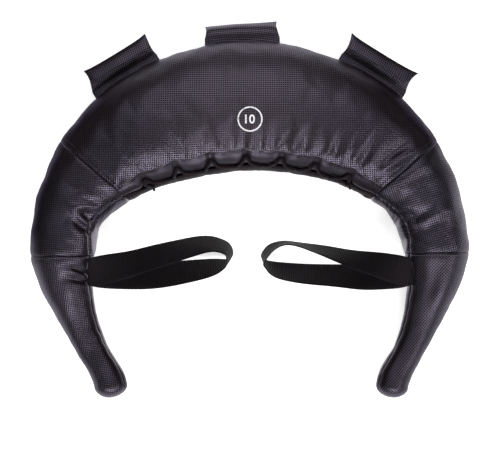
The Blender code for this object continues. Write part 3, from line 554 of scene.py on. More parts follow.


# %% [markdown]
# ## Creases and puckers
# The leather is gathered at the laced hem and folded where the arms turn down. A simulation makes
# such folds somewhere, but not in the same places as on this bag, so the main ones are listed and
# pressed in: each is a line in pixels of the picture, with a height and a width in millimetres. A
# height above zero is a ridge, and below zero a valley.

# %% The creases of the front
PUCKERS = [
    ([(216, 130), (222, 146)], 1.5, 4.5), ([(231, 133), (232, 149)], -0.8, 5),
    ([(240, 130), (239, 147)], 0.5, 4), ([(253, 127), (250, 148)], 1.8, 5.5),
    ([(262, 130), (261, 147)], -0.9, 4), ([(267, 132), (266, 147)], 0.5, 3.5),
    ([(276, 128), (272, 148)], -0.8, 5), ([(284, 134), (282, 148)], 0.4, 3.5),
    ([(299, 127), (293, 147)], 2.2, 6), ([(308, 130), (304, 149)], -1.5, 5),
    ([(316, 134), (313, 150)], 0.4, 4), ([(330, 136), (328, 152)], 1.9, 4.5),
    ([(338, 138), (334, 154)], -1.2, 4), ([(351, 136), (344, 156)], 1.0, 4),
    ([(366, 134), (354, 158)], 1.6, 5), ([(371, 146), (360, 163)], -1.3, 4.5),
    ([(380, 144), (370, 163)], 1.3, 5.5),
    ([(206, 143), (204, 154)], -0.4, 4),
    ([(192, 143), (190, 158)], 0.5, 5), ([(168, 152), (166, 168)], 0.4, 6),
    ([(140, 165), (140, 180)], 0.6, 6), ([(122, 168), (117, 187)], 2.4, 7.5),
]
FOLDS = [
    # the left shoulder
    ([(77, 213), (90.5, 224.5)], 2.6, 3.4), ([(71, 224.5), (81, 233.5), (88, 236)], 2.2, 3.6),
    ([(74, 207.5), (88, 205.5), (100, 207)], 2.2, 4), ([(82, 212), (92, 214)], -2.4, 4.5),
    ([(84, 214), (91, 222)], -2.6, 4), ([(78, 222), (89, 231)], -2.4, 3.4),
    ([(66, 232), (80, 241), (90, 243)], 1.2, 5), ([(88, 196), (108, 200)], 1.4, 6),
    ([(86, 201), (104, 204)], -1.2, 4),
    # the left arm, beside the strap
    ([(70, 265), (86, 273)], -2.4, 3.4), ([(66, 277.5), (86, 280.7)], -2.2, 3.4),
    ([(68, 270), (87, 277)], 1.6, 3), ([(66, 262), (86, 266)], 1.0, 3.4),
    ([(68, 290), (90, 297)], 1.1, 5), ([(70, 283), (88, 287)], 1.0, 3.5),
    # the right shoulder
    ([(383, 169), (398, 159), (414, 150)], 3.4, 4.5), ([(384, 158), (402, 146)], -2.0, 4.5),
    ([(391, 173), (405, 163)], -1.4, 4),
    ([(404, 179), (413, 172), (426, 166)], 2.2, 5.5),
    ([(402, 190), (416, 183), (432, 180)], 0.9, 6),
    ([(403, 214), (414, 218), (430, 213)], -2.4, 5),
    ([(420, 221), (434, 214), (450, 209)], 2.3, 5.5),
    ([(405, 236), (420, 230), (440, 226)], -1.2, 6), ([(398, 205), (410, 208)], 1.0, 4),
    ([(407, 226), (416, 223)], 1.2, 3.5), ([(410, 243), (430, 242)], 0.7, 4),
    # the arms' long soft dents
    ([(450, 262), (440, 300)], 1.3, 8), ([(436, 262), (428, 300)], -0.9, 7),
    ([(60, 262), (74, 306)], 1.0, 8), ([(92, 330), (110, 368)], 0.9, 6),
    ([(412, 330), (396, 366)], 0.9, 6),
]

HOLLOW_MIDDLE = np.array((0.0, -0.05))
CREASE_SHARE, CREASE_WIDENING, PUCKER_STRETCH = 1.5, 1.3, 0.4


def pressed_by(places, creases, outwards):
    """How far each place (x, y) is pushed out, in metres, by creases. They fade away outwards, or
    else at both ends."""
    total = np.zeros(places.shape[:-1])
    for line, height, width in creases:
        line = photo_place(line)
        if np.linalg.norm(line[0] - HOLLOW_MIDDLE) < np.linalg.norm(line[-1] - HOLLOW_MIDDLE):
            line = line[::-1]
        if outwards:
            line[0] += PUCKER_STRETCH * (line[0] - line[-1])
        nearest, fade = np.full(total.shape, 1e9), np.zeros(total.shape)
        for number, (start, end) in enumerate(zip(line, line[1:])):
            along = end - start
            share = np.clip(((places - start) @ along) / (along @ along), 0, 1)
            gap = np.linalg.norm(places - start - share[..., None] * along, axis=-1)
            fade = np.where(gap < nearest, (number + share) / (len(line) - 1), fade)
            nearest = np.minimum(nearest, gap)
        wide = width * CREASE_WIDENING * MM * (1.25 - 0.4 * fade)
        strong = 0.1 + 0.9 * fade if outwards else 0.55 + 0.45 * np.sin(math.pi * fade)
        total += height * CREASE_SHARE * MM * np.exp(-((nearest / wide) ** 2)) * strong
    return total


def swells(places, wavelength, seed, count=14):
    """Gentle random unevenness from -1 to 1 over places (x, y, z)."""
    chance = np.random.default_rng(seed)
    total = np.zeros(places.shape[:-1])
    for _ in range(count):
        way = chance.normal(size=3)
        way *= 2 * math.pi / (wavelength * chance.uniform(0.7, 1.6) * np.linalg.norm(way))
        total += np.sin(places @ way + chance.uniform(0, 2 * math.pi))
    return total / math.sqrt(count) / 1.6


print(len(PUCKERS), "puckers,", len(FOLDS), "folds")

# %% [markdown]
# ## The cover's panels
# The cover is ten panels: a centre, two shoulders and two arms, front and back. Each is made on its
# own, with its flat pattern turned as it was cut, and each dips at its seams, swells a little
# beside them, and is drawn into small puckers by the thread.

# %% Cutting and pressing one panel
HEM_WIDTH, CLOSURE_GAP, SEAM_GAP = 0.017, 0.020, 0.0003
SEAM_DIP, SEAM_DIP_WIDTH = 0.0004, 0.0014
SEAM_SWELL, SEAM_SWELL_PLACE = 0.0005, 0.0085
HEM_WAVE, SEAM_ALLOWANCE = 0.0017, 0.0035
UPPER_ROW_GAP, ROW_GROOVE = 0.0060, 0.0006
FLOOR_CLEARANCE = 0.0002


def eased(value):
    value = np.clip(value, 0, 1)
    return value * value * (3 - 2 * value)


def closure_taper(station):
    start = UPPER_SEAM * 0.86
    return 1 - eased((np.abs(station) - start) / (UPPER_SEAM - start))


LACE_PITCH, FRONT_HOLES, LACE_SHIFT = 0.047, 7, -0.0042


def hole_stations():
    """Stations of the front hem's holes, evenly spaced along its edge."""
    edge = np.linspace(0, UPPER_SEAM, 400)
    length = running(skin(edge, INNER_SEAM), 0)
    row = LACE_PITCH * (np.arange(FRONT_HOLES) - (FRONT_HOLES - 1) / 2) + LACE_SHIFT
    return np.sign(row) * np.interp(np.abs(row), length, edge)


FRONT_HOLE_STATIONS = hole_stations()


def drawn(station, holes, reach):
    """From 0 to 1: how near a station is to a hole, where the lace draws the leather in."""
    gaps = np.abs(np.asarray(station)[..., None] - holes)
    return np.exp(-((gaps.min(axis=-1) / reach) ** 2))


def hem_top(station):
    """The wavy line where the front hem is sewn on: drawn down at the holes."""
    wave = HEM_WAVE * (1 - 2 * drawn(station, FRONT_HOLE_STATIONS, 0.012)) * closure_taper(station)
    return turn(station, INNER_SEAM, HEM_WIDTH - wave)


def back_edge(station):
    gap = SEAM_GAP + (CLOSURE_GAP - SEAM_GAP) * closure_taper(station)
    return turn(station, INNER_SEAM, -gap)


def back_foot(station):
    return turn(station, back_edge(station), -HEM_WIDTH)


def edge_rows(points, normals, depth, tip):
    """The grid with one row more on each edge, turned down into the seam."""
    down = points - normals * depth
    first, last = down[:1], down[-1:]
    rows = [first, points, last] if not tip else ([first, points] if tip > 0 else [points, last])
    points = np.concatenate(rows)
    fill = {1: (1, 0), -1: (0, 1), 0: (1, 1)}[tip]
    down = np.pad(down, ((fill[0], fill[1]), (0, 0), (0, 0)), "edge")
    return np.concatenate([down[:, :1], points, down[:, -1:]], axis=1), fill


def seam_shape(distance):
    """The dip at a seam and the swell beside it, in metres."""
    dip = -SEAM_DIP * np.exp(-((distance / SEAM_DIP_WIDTH) ** 2))
    return dip + SEAM_SWELL * np.exp(-(((distance - SEAM_SWELL_PLACE) / 0.006) ** 2))


PANELS = {}


def cut_panel(name, stations, low, high, step, middle, turn_degrees, tip=0, seed=0):
    """Makes a panel's grid of points and keeps it under its name."""
    fan = np.linspace(low, high, 60).T
    columns = int(np.max(running(skin(stations[:, None], fan), 1)) / step) + 2
    angles = even_angles(stations, low, high, columns)
    base = skin(stations[:, None], angles)
    out = outward(stations[:, None], angles)
    rows_walked, columns_walked = running(base, 0), running(base, 1)
    far_column = columns_walked[:, -1:] - columns_walked
    far_row = rows_walked[-1:] - rows_walked
    hem_seam = 0.25 if name == "front_centre_panel" else 1.0
    push = hem_seam * seam_shape(columns_walked) + seam_shape(far_column)
    if tip <= 0:
        push += seam_shape(far_row)
    if tip >= 0:
        push += seam_shape(rows_walked)
    if name == "front_centre_panel":
        for gap in (rows_walked, far_row):
            push -= ROW_GROOVE * np.exp(-(((gap - UPPER_ROW_GAP) / 0.0016) ** 2))
    run = np.abs(stations)[:, None]
    limp = 0.0009 + 0.0008 * eased((run - 0.20) / 0.06) * eased((0.355 - run) / 0.04)
    push += limp * swells(base, 0.060, 3) + 0.00045 * swells(base, 0.028, 4)
    if middle < OUTER_SEAM:
        above = base[..., :2]
        relief = pressed_by(above, PUCKERS, True) + pressed_by(above, FOLDS, False)
        push += relief * np.clip(out[..., 2] * 1.6 + 0.2, 0, 1)
    pucker = np.sin(rows_walked / 0.0042 + 2.4 * np.sin(rows_walked / 0.019 + seed))
    near = np.exp(-columns_walked / 0.009) + np.exp(-far_column / 0.009)
    push += 0.00035 * pucker * near
    push *= eased((SPINE_LENGTH - np.abs(stations)) / TIP_ROUND)[:, None]
    points = base + out * push[..., None]
    points[..., 2] = np.maximum(points[..., 2], FLOOR_CLEARANCE)
    PANELS[name] = {
        "angles": angles, "points": points, "out": out, "tip": tip,
        "pattern": turned(flat_pattern(stations, angles, middle), turn_degrees),
    }


def sew_panel(name):
    """Makes the mesh of a panel."""
    panel = PANELS[name]
    points, fill = edge_rows(panel["points"], panel["out"], SEAM_ALLOWANCE, panel["tip"])
    pads = (fill, (1, 1), (0, 0))
    pattern, outside = (np.pad(panel[key], pads, "edge") for key in ("pattern", "out"))
    piece = piece_of(name, points, outer_quads(points, outside), pattern)
    return dress(piece, "cover leather")


# %% The ten panels
FINE_STEP, BACK_STEP = 0.0027, 0.0040
SEAM_CLIMB = {"left": 0.0100, "right": 0.0060}
ARM_SEAMS = {"left": LOWER_SEAM - 0.0046, "right": LOWER_SEAM - 0.0090}
PATTERN_TURNS = {
    "centre": 0, "shoulder_left": 4, "shoulder_right": -16, "arm_left": 8, "arm_right": 42,
}


def rows_between(start, end, step):
    return np.linspace(start, end, max(int(abs(end - start) / step), 2) + 1)


def tip_rows(start, side, step):
    """Stations from a seam to an arm's tip, closer together on the round of the tip."""
    steady = SPINE_LENGTH - TIP_ROUND
    round_off = steady + TIP_ROUND * np.sin(np.linspace(0, math.pi / 2, 9)[1:])
    return side * np.concatenate([rows_between(start, steady, step), round_off])


def panel_rows(part, step):
    """(word, stations, tip) of each panel of a part of the bag."""
    gap = SEAM_GAP / 2
    if part == "centre":
        return [("centre", rows_between(-UPPER_SEAM + gap, UPPER_SEAM - gap, step), 0)]
    if part == "shoulder":
        return [
            (word, side * rows_between(UPPER_SEAM + gap, ARM_SEAMS[word] - gap, step), 0)
            for word, side in SIDES
        ]
    return [(word, tip_rows(ARM_SEAMS[word] + gap, side, step), 1) for word, side in SIDES]


def shoulder_seam(stations, word):
    """The inner seam's angle on a shoulder: it rises a little between its two ends."""
    share = (np.abs(stations) - UPPER_SEAM) / (ARM_SEAMS[word] - UPPER_SEAM)
    climb = SEAM_CLIMB[word] * np.sin(math.pi * np.clip(share, 0, 1)) ** 0.7
    return turn(stations, INNER_SEAM, climb)


for part in ("centre", "shoulder", "arm"):
    for face, step, middle in (("front", FINE_STEP, 90), ("back", BACK_STEP, 270)):
        for number, (word, stations, tip) in enumerate(panel_rows(part, step)):
            name, key = f"{face}_{part}_panel_{word}", f"{part}_{word}"
            inner, outer = (np.full(len(stations), seam) for seam in (INNER_SEAM, OUTER_SEAM))
            if part == "centre":
                name, key = f"{face}_centre_panel", "centre"
                inner = hem_top(stations) if face == "front" else back_foot(stations)
            elif part == "shoulder":
                inner = shoulder_seam(stations, word)
            low, high = (inner, outer) if face == "front" else (outer, inner + FULL_TURN)
            cut_panel(
                name, stations, low, high, step, math.radians(middle), PATTERN_TURNS[key],
                tip, seed=number + len(PANELS),
            )
print({name: panel["points"].shape[:2] for name, panel in PANELS.items()})

# %% [markdown]
# ## Letting the filling push
# The filling presses each panel out, and the leather, held at its seams, answers with small folds.
# Those folds come from a cloth simulation: a coarser copy of each panel is pinned at its edges,
# made a little too large, most of all near the inner edge, and blown up for twenty frames. The
# panel's measured shape shall stay, so only the folds are taken back, and not the general swelling.

# %% The cloth simulation
SIM_FRAMES, SIM_EVERY, HELD_TIP_ROWS, BLUR_REACH = 20, 2, 5, 7
MOST_OUT, MOST_IN = 0.0050, 0.0016
FOLD_SHARE, FAR_SHARE = 0.8, 0.22
CLOTH_SETTINGS = {
    "quality": 4, "mass": 0.2, "tension_stiffness": 40, "compression_stiffness": 40,
    "shear_stiffness": 20, "bending_stiffness": 0.6, "use_pressure": True,
    "uniform_pressure_force": 4, "vertex_group_mass": "sewn", "vertex_group_shrink": "loose",
    "shrink_min": -0.008, "shrink_max": -0.06,
}


def blurred(field, reach):
    """A field averaged with its neighbours along both sides of the grid."""
    for axis in (0, 1):
        width = min(reach, field.shape[axis] // 2)
        pads = [(width, width) if k == axis else (0, 0) for k in range(field.ndim)]
        summed = np.cumsum(np.pad(field, pads, "edge"), axis=axis)
        size, count = 2 * width, summed.shape[axis]
        later = np.take(summed, range(size, count), axis=axis)
        field = (later - np.take(summed, range(count - size), axis=axis)) / size
    return field


def settle(name):
    """Adds the folds that a blown-up cloth takes to a panel's points."""
    panel = PANELS[name]
    points, out = panel["points"], panel["out"]
    rows, columns = (
        np.unique(np.append(np.arange(0, n, SIM_EVERY), n - 1)) for n in points.shape[:2]
    )
    pick, keys = np.ix_(rows, columns), ("points", "out", "angles")
    coarse, normals, angles = (panel[key][pick] for key in keys)
    mesh = bpy.data.meshes.new("settling")
    mesh.from_pydata(coarse.reshape(-1, 3).tolist(), [], outer_quads(coarse, normals).tolist())
    copy = into_scene("settling", mesh)
    index, held = numbered(coarse), np.zeros(coarse.shape[:2], bool)
    held[:, [0, -1]] = held[[0, -1]] = True
    if panel["tip"]:
        held[-HELD_TIP_ROWS:] = True
    sewn, loose = (copy.vertex_groups.new(name=label) for label in ("sewn", "loose"))
    sewn.add(index[held].tolist(), 1.0, "REPLACE")
    near_inner = eased(np.abs(np.cos(angles / 2)) * 2.2 - 0.95)
    for number, weight in zip(index.ravel().tolist(), near_inner.ravel().tolist()):
        loose.add([number], weight, "REPLACE")
    cloth = copy.modifiers.new("cloth", "CLOTH")
    cloth.point_cache.frame_start, cloth.point_cache.frame_end = 1, SIM_FRAMES
    for setting, value in CLOTH_SETTINGS.items():
        setattr(cloth.settings, setting, value)
    cloth.settings.effector_weights.gravity = 0
    for moment in range(1, SIM_FRAMES + 1):
        bpy.context.scene.frame_set(moment)
    result = copy.evaluated_get(bpy.context.evaluated_depsgraph_get()).to_mesh()
    found = np.empty(coarse.size)
    result.vertices.foreach_get("co", found)
    bpy.context.scene.frame_set(1)
    bpy.data.objects.remove(copy)
    folds = ((found.reshape(coarse.shape) - coarse) * normals).sum(-1)
    share = FAR_SHARE + (1 - FAR_SHARE) * near_inner
    folds = FOLD_SHARE * (folds - blurred(folds, BLUR_REACH)) * share
    folds = np.clip(folds * ~held, -MOST_IN, MOST_OUT)
    for known, size in ((rows, points.shape[0]), (columns, points.shape[1])):
        folds = np.stack([np.interp(np.arange(size), known, line) for line in folds.T])
    panel["points"] = points + out * folds[..., None]
    panel["points"][..., 2] = np.maximum(panel["points"][..., 2], FLOOR_CLEARANCE)
    return float(np.abs(folds).max())


for name in PANELS:
    print(name, "folds up to", round(settle(name) * 1000, 1), "mm")

# %% Sewing the panels and hanging them on the bodies
for word, side in SIDES:
    front, back = (PANELS[f"{face}_shoulder_panel_{word}"]["points"] for face in ("front", "back"))
    start = min(front[0, :, 1].min(), back[0, :, 1].min()) - 0.0005
    end = max(front[-1, :, 1].max(), back[-1, :, 1].max()) + 0.0005


def hang(piece, part, word=None):
    """A piece follows what it belongs to. A shoulder keeps its place, which is baked into its
    points.
    """
    if part == "shoulder":
        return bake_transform(piece)
    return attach(piece, f"arm_{word}" if part == "arm" else "bag")


for name in PANELS:
    _, part, *_, word = name.split("_")
    hang(sew_panel(name), part, word)

# %% [markdown]
# ## What is inside
# Nothing of the filling shows, but it is there: wadding in a front and a back half, sewn sand bags
# in the middle, and hard stuffing in the arms. Plain sheets would do. They get the unevenness of
# real filling, because someone may open the bag.

# %% Wadding, sand bags and stuffing
COVER_THICKNESS, INNER_CLEARANCE = 0.002, 0.0006
WADDING_INSET, CLOSURE_HOLLOW, WADDING_SHARE = 0.0045, 0.0085, 0.32
TONGUE_THICKNESS, TONGUE_OVERLAP, TONGUE_SLOPE = 0.0015, 0.007, 0.009
INNER_STEP, WADDING_GAP = 0.008, 0.01


def wadding_top(station, angle):
    """The depth of the wadding's outer face: under the cover, and deeper under the closure."""
    unwound = np.where(angle > OUTER_SEAM, angle - FULL_TURN, angle)
    foot = turn(station, back_foot(station), -TONGUE_OVERLAP / 2)
    top = turn(station, hem_top(station), TONGUE_OVERLAP)
    margin = turn(station, foot, TONGUE_OVERLAP) - foot
    hollow = eased((unwound - foot + margin) / margin)
    hollow = hollow * eased((top + 2 * margin - unwound) / margin)
    hollow = CLOSURE_HOLLOW * hollow * (np.abs(station) < UPPER_SEAM)
    return COVER_THICKNESS + WADDING_INSET + hollow


def core_depth(station):
    return COVER_THICKNESS + INNER_CLEARANCE + WADDING_SHARE * spine(station)[5]


def fibre_piece(name, stations, low, high):
    """A closed half of wadding between two angles, lumpy on both faces."""
    angles = even_angles(stations, low, high, int(np.max(high - low) / 0.11))
    at = stations[:, None]
    rest = skin(at, angles)
    top = wadding_top(at, angles) + 0.0006 * (1 + swells(rest, 0.03, 11))
    inner = skin(at, angles, np.maximum(core_depth(at), top + 0.003))
    return plate(name, skin(at, angles, top), inner, rest[..., :2])


def stuffed_tube(name, stations, depth, lumps):
    """A closed bag along the spine, with rounded ends, so deep under the cover."""
    angles, at = np.linspace(0, FULL_TURN, 33)[:-1], stations[:, None]
    ends = np.minimum(np.abs(stations - stations[0]), np.abs(stations - stations[-1]))
    rounding = np.sqrt(1 - (1 - np.clip(ends / 0.012, 0.04, 1)) ** 2)
    inset = (depth + (spine(stations)[5] - depth) * (1 - rounding) * 0.6)[:, None]
    points = skin(at, angles, inset + lumps * (1 + swells(skin(at, angles, inset), 0.022, 8)))
    middle = points.mean(axis=1, keepdims=True).repeat(len(angles), 1)
    points = np.concatenate([middle[:1], points, middle[-1:]])
    faces = quads(numbered(points), wrap=True)
    return outward_faces(piece_of(name, points, faces, points[..., :2]))


tree, shader = material("wadding", Roughness=0.95, Sheen_Weight=0.3)
tuft = noise(tree, in_space(tree), 180.0, 5.0)
wire(
    tree, shader, Base_Color=mixed(tree, tuft, (0.42, 0.39, 0.34), (0.66, 0.63, 0.58)),
    Normal=bump(tree, tuft, 0.002, 0.7),
)
tree, shader = material("sand cloth", Roughness=0.9)
thread = use_group(tree, "weave", Place=in_space(tree), Scale=260.0, Distortion=0.6)
wire(
    tree, shader, Base_Color=mixed(tree, thread, (0.24, 0.19, 0.12), (0.42, 0.35, 0.24)),
    Normal=bump(tree, thread, 0.0006),
)

for part in ("centre", "shoulder"):
    for word, stations, _ in panel_rows(part, INNER_STEP):
        low = np.full(len(stations), INNER_SEAM + WADDING_GAP)
        high = np.full(len(stations), OUTER_SEAM - WADDING_GAP)
        back_ends = high + 2 * WADDING_GAP, low - 2 * WADDING_GAP + FULL_TURN
        for face, ends in (("front", (low, high)), ("back", back_ends)):
            wadding = fibre_piece(f"{face}_wadding_{word}", stations, *ends)
            hang(dress(wadding, "wadding"), part, word)
        depth = core_depth(stations) + 0.0020
        sand_bag = stuffed_tube(f"sand_bag_{word}", stations, depth, 0.0006)
        hang(dress(sand_bag, "sand cloth"), part, word)
for word, side in SIDES:
    run = side * rows_between(ARM_SEAMS[word] + 0.002, SPINE_LENGTH - 0.006, INNER_STEP)
    stuffing = stuffed_tube(f"arm_stuffing_{word}", run, 0.0042, 0.0004)
    hang(dress(stuffing, "wadding"), "arm", word)
print("filling: 6 waddings, 3 sand bags, 2 stuffings")

# %% [markdown]
# ## The hems
# The middle's inner edge is closed by a lace between two smooth hems. The lace pulls each hem in at
# its holes, so the edge runs in scallops, and the leather hangs and puffs a little between them.
# A hem is a closed sheet: its edge is rounded, because the leather is folded over there.

# %% Smooth leather, and the same in shade
tree, shader = material(
    "smooth leather", Specular_IOR_Level=0.46, Specular_Tint=(0.84, 0.74, 1.0)
)
place = in_space(tree)
mark = use_group(tree, "handling marks", Place=place, Size=30.0)
grid = use_group(tree, "pressed grid", Place=on_pattern(tree), Pitch=GRAIN_PITCH, Wall=0.4)
# the faint pits are painted near black and metallic, as painted shade in their hollows
faint = maths(tree, "MULTIPLY", grid, 0.45)
base = mixed(tree, mark, (0.0090, 0.0066, 0.0082), (0.0058, 0.0046, 0.0056))
stretched = add(tree, "Mapping", {"Vector": place, "Scale": (1.0, 0.35, 1.0)}).outputs[0]
wire(
    tree, shader, Base_Color=mixed(tree, faint, base, (0.0015, 0.0012, 0.0015)), Metallic=faint,
    Roughness=maths(tree, "MULTIPLY_ADD", mark, 0.10, 0.36),
    Normal=bump(tree, noise(tree, stretched, 420.0, 4.0), 0.0003, 0.5),
)

tree, shader = material(
    "shaded leather", Roughness=0.6, Specular_IOR_Level=0.10, Specular_Tint=(0.84, 0.68, 0.92)
)
place = in_space(tree)
mark = use_group(tree, "handling marks", Place=place, Size=45.0)
wire(
    tree, shader,
    Base_Color=mixed(tree, mark, (0.0105, 0.0068, 0.0080), (0.0045, 0.0030, 0.0037)),
    Normal=bump(tree, noise(tree, place, 300.0, 4.0), 0.0004, 0.6),
)

# %% Front and back hem
HEM_THICKNESS, HEM_STEP, HEM_OVERLAP, HEM_PUFF = 0.0022, 0.0014, 0.0010, 0.0011
HOLE_DROP, LOBE_DROP = -0.0042, 0.0062
BACK_FREE, BACK_RISE = 0.0112, 0.0030
HEM_COLUMNS = np.concatenate([np.array([0, 0.015, 0.04, 0.08, 0.14]), np.linspace(0.21, 1, 14)])
VALLEY_SHARES = np.array((0.70, 0.63, 0.61, 0.55, 0.50, 0.46))
VALLEYS = FRONT_HOLE_STATIONS[:-1] + VALLEY_SHARES * np.diff(FRONT_HOLE_STATIONS)


def front_edge(station):
    """The front hem's free edge: up at the holes, hanging between them."""
    pull = drawn(station, FRONT_HOLE_STATIONS, 0.0098)
    drop = (HOLE_DROP * pull + LOBE_DROP * (1 - pull)) * closure_taper(station)
    return turn(station, INNER_SEAM, -drop)


def back_free(station):
    """The back hem's free edge: drawn up where the lace goes down."""
    rise = BACK_RISE * drawn(station, VALLEYS, 0.0090)
    return turn(station, INNER_SEAM, -(SEAM_GAP + (BACK_FREE - rise) * closure_taper(station)))


def hem(name, edge, foot, holes, seed):
    """A scalloped strip. edge and foot give its free and its sewn edge, as angles."""
    stations = rows_between(-UPPER_SEAM + 0.0002, UPPER_SEAM - 0.0002, HEM_STEP)
    free, sewn = edge(stations), foot(stations)
    angles = free[:, None] + (sewn - free)[:, None] * HEM_COLUMNS
    rest, out = skin(stations[:, None], angles), outward(stations[:, None], angles)
    from_edge = running(rest, 1)
    to_seam = from_edge[:, -1:] - from_edge
    pull = drawn(stations, holes, 0.0075)[:, None]
    belly = np.sin(np.pi * np.clip(HEM_COLUMNS, 0, 1))[None, :]
    low = np.exp(-from_edge / 0.009)
    push = HEM_PUFF * (1 - 1.5 * pull) * belly + 0.0008 * low * (1 - 2.2 * pull)
    push -= 0.0012 * np.exp(-from_edge / 0.0010)
    ripple = np.sin(stations / 0.0034 + 2 * np.sin(stations / 0.011 + seed))[:, None]
    push += 0.00025 * ripple * np.exp(-to_seam / 0.005)
    push += 0.00045 * swells(rest, 0.018, seed)
    lift = 0.0006 * eased((0.004 - to_seam) / 0.004)
    outer = rest + out * (push + lift)[..., None]
    inner = outer - out * HEM_THICKNESS * np.minimum(1, 0.35 + from_edge / 0.004)[..., None]
    piece = plate(name, outer, inner, flat_pattern(stations, angles, math.radians(90)))
    dyed = "smooth leather" if name == "front_hem" else "shaded leather"
    return dress(piece, dyed, "bag")


hem("front_hem", front_edge, lambda s: turn(s, hem_top(s), HEM_OVERLAP), FRONT_HOLE_STATIONS, 5)
hem("back_hem", back_free, lambda s: turn(s, back_foot(s), -HEM_OVERLAP), VALLEYS, 6)
print("hems scalloped at", len(FRONT_HOLE_STATIONS), "and", len(VALLEYS), "holes")

# %% [markdown]
# ## The tongue
# Behind the lace a strip of cloth keeps the filling in. It shows as brown-grey pillows in the gap,
# pushed out between the strands. It is a thin closed sheet that dips where the lace holds it.

# %% Tongue cloth and the tongue
tree, shader = material("tongue cloth", Specular_IOR_Level=0.4, Sheen_Weight=0.15)
thread = use_group(tree, "weave", Place=on_pattern(tree), Scale=300.0, Distortion=0.4)
mark = use_group(tree, "handling marks", Place=in_space(tree), Size=40.0)
worn = mixed(tree, mark, (0.080, 0.058, 0.062), (0.044, 0.031, 0.034))
wire(
    tree, shader, Base_Color=mixed(tree, thread, (0.010, 0.008, 0.009), worn),
    Roughness=maths(tree, "MULTIPLY_ADD", mark, 0.2, 0.45),
    Normal=bump(tree, thread, 0.0003, 0.5),
)

stations = rows_between(-UPPER_SEAM + 0.0004, UPPER_SEAM - 0.0004, 0.002)
at = stations[:, None]
foot = turn(stations, back_foot(stations), -TONGUE_OVERLAP / 2)[:, None]
top = turn(stations, hem_top(stations), TONGUE_OVERLAP)[:, None]
angles = foot + (top - foot) * np.linspace(0, 1, 40)
slope = turn(at, foot, TONGUE_SLOPE) - foot
depth = COVER_THICKNESS + INNER_CLEARANCE + 0.0054 * eased((angles - foot) / slope)
in_gap = eased((angles - back_free(at) + 0.05) / 0.09)
in_gap = in_gap * eased((INNER_SEAM + 0.10 - angles) / 0.09) * closure_taper(at)
rest = skin(at, angles)
pillows = drawn(at, FRONT_HOLE_STATIONS, 0.011)
depth = depth - in_gap * (0.0016 + 0.0034 * pillows) - 0.0004 * swells(rest, 0.010, 9)
outer, inner = skin(at, angles, depth), skin(at, angles, depth + TONGUE_THICKNESS)
pattern = np.stack([at + 0 * angles, running(rest, 1)], -1)
tongue = dress(plate("closure_tongue", outer, inner, pattern), "tongue cloth")
wadding = bpy.data.objects["dressed_front_wadding_centre"]
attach(tongue, "bag")
print("tongue", outer.shape[:2])

# %% [markdown]
# ## The lace
# A thick round black lace runs from hole to hole and ends in a knot on each side. It is tied down
# all along, so it isn't a free cord. A curve with a round bevel would be smooth. A twisted tube,
# whose section is pushed in between its three strands, shows the turns of the cord.

# %% The lace's route
LACE_DIAMETER = 0.004
# (station, mm up from the middle of the closure's edge, diameters under the surface)
FRONT_PASS = [
    (-0.0092, -0.6, -0.72), (-0.0042, 5.4, -0.78), (0.0000, 8.2, -0.15), (0.0042, 4.6, -0.45),
    (0.0100, -2.8, -0.55),
]
BACK_PASS = [(-0.0070, -8.0, -0.66), (0.0000, -9.6, -0.25), (0.0055, -8.6, -0.62)]


def smooth_path(points, steps):
    """A smooth run of points through the given ones."""
    points = np.asarray(points, float)
    ends = np.vstack([2 * points[0] - points[1], points, 2 * points[-1] - points[-2]])
    found = []
    for k in range(1, len(ends) - 2):
        a, b, c, d = ends[k - 1 : k + 3]
        for t in np.arange(steps) / steps:
            found.append(0.5 * (
                2 * b + (c - a) * t + (2 * a - 5 * b + 4 * c - d) * t**2
                + (3 * b - a - 3 * c + d) * t**3
            ))
    return np.array(found + [points[-1]])


def lace_pass(rows, station):
    """The lace's points on its way through a hole."""
    return [
        skin(station + along, turn(station + along, INNER_SEAM, up * MM), deep * LACE_DIAMETER)
        for along, up, deep in rows
    ]


route = lace_pass([(0.0030, -8.8, -0.30)], FRONT_HOLE_STATIONS[0])
route += lace_pass([(-0.0036, -2.4, -0.60)] + FRONT_PASS[1:], FRONT_HOLE_STATIONS[0])
for valley, hole in zip(VALLEYS, FRONT_HOLE_STATIONS[1:]):
    route += lace_pass(BACK_PASS, valley)
    route += lace_pass(FRONT_PASS, hole)
del route[-1]
route += lace_pass([(0.0050, -0.4, -0.4), (0.0068, -5.5, -0.4)], FRONT_HOLE_STATIONS[-1])
route = np.array(route)
LACE_PATH = smooth_path(route, 8)
print("lace", round(float(running(LACE_PATH, 0)[-1]), 3), "m")

# %% A twisted tube along any path


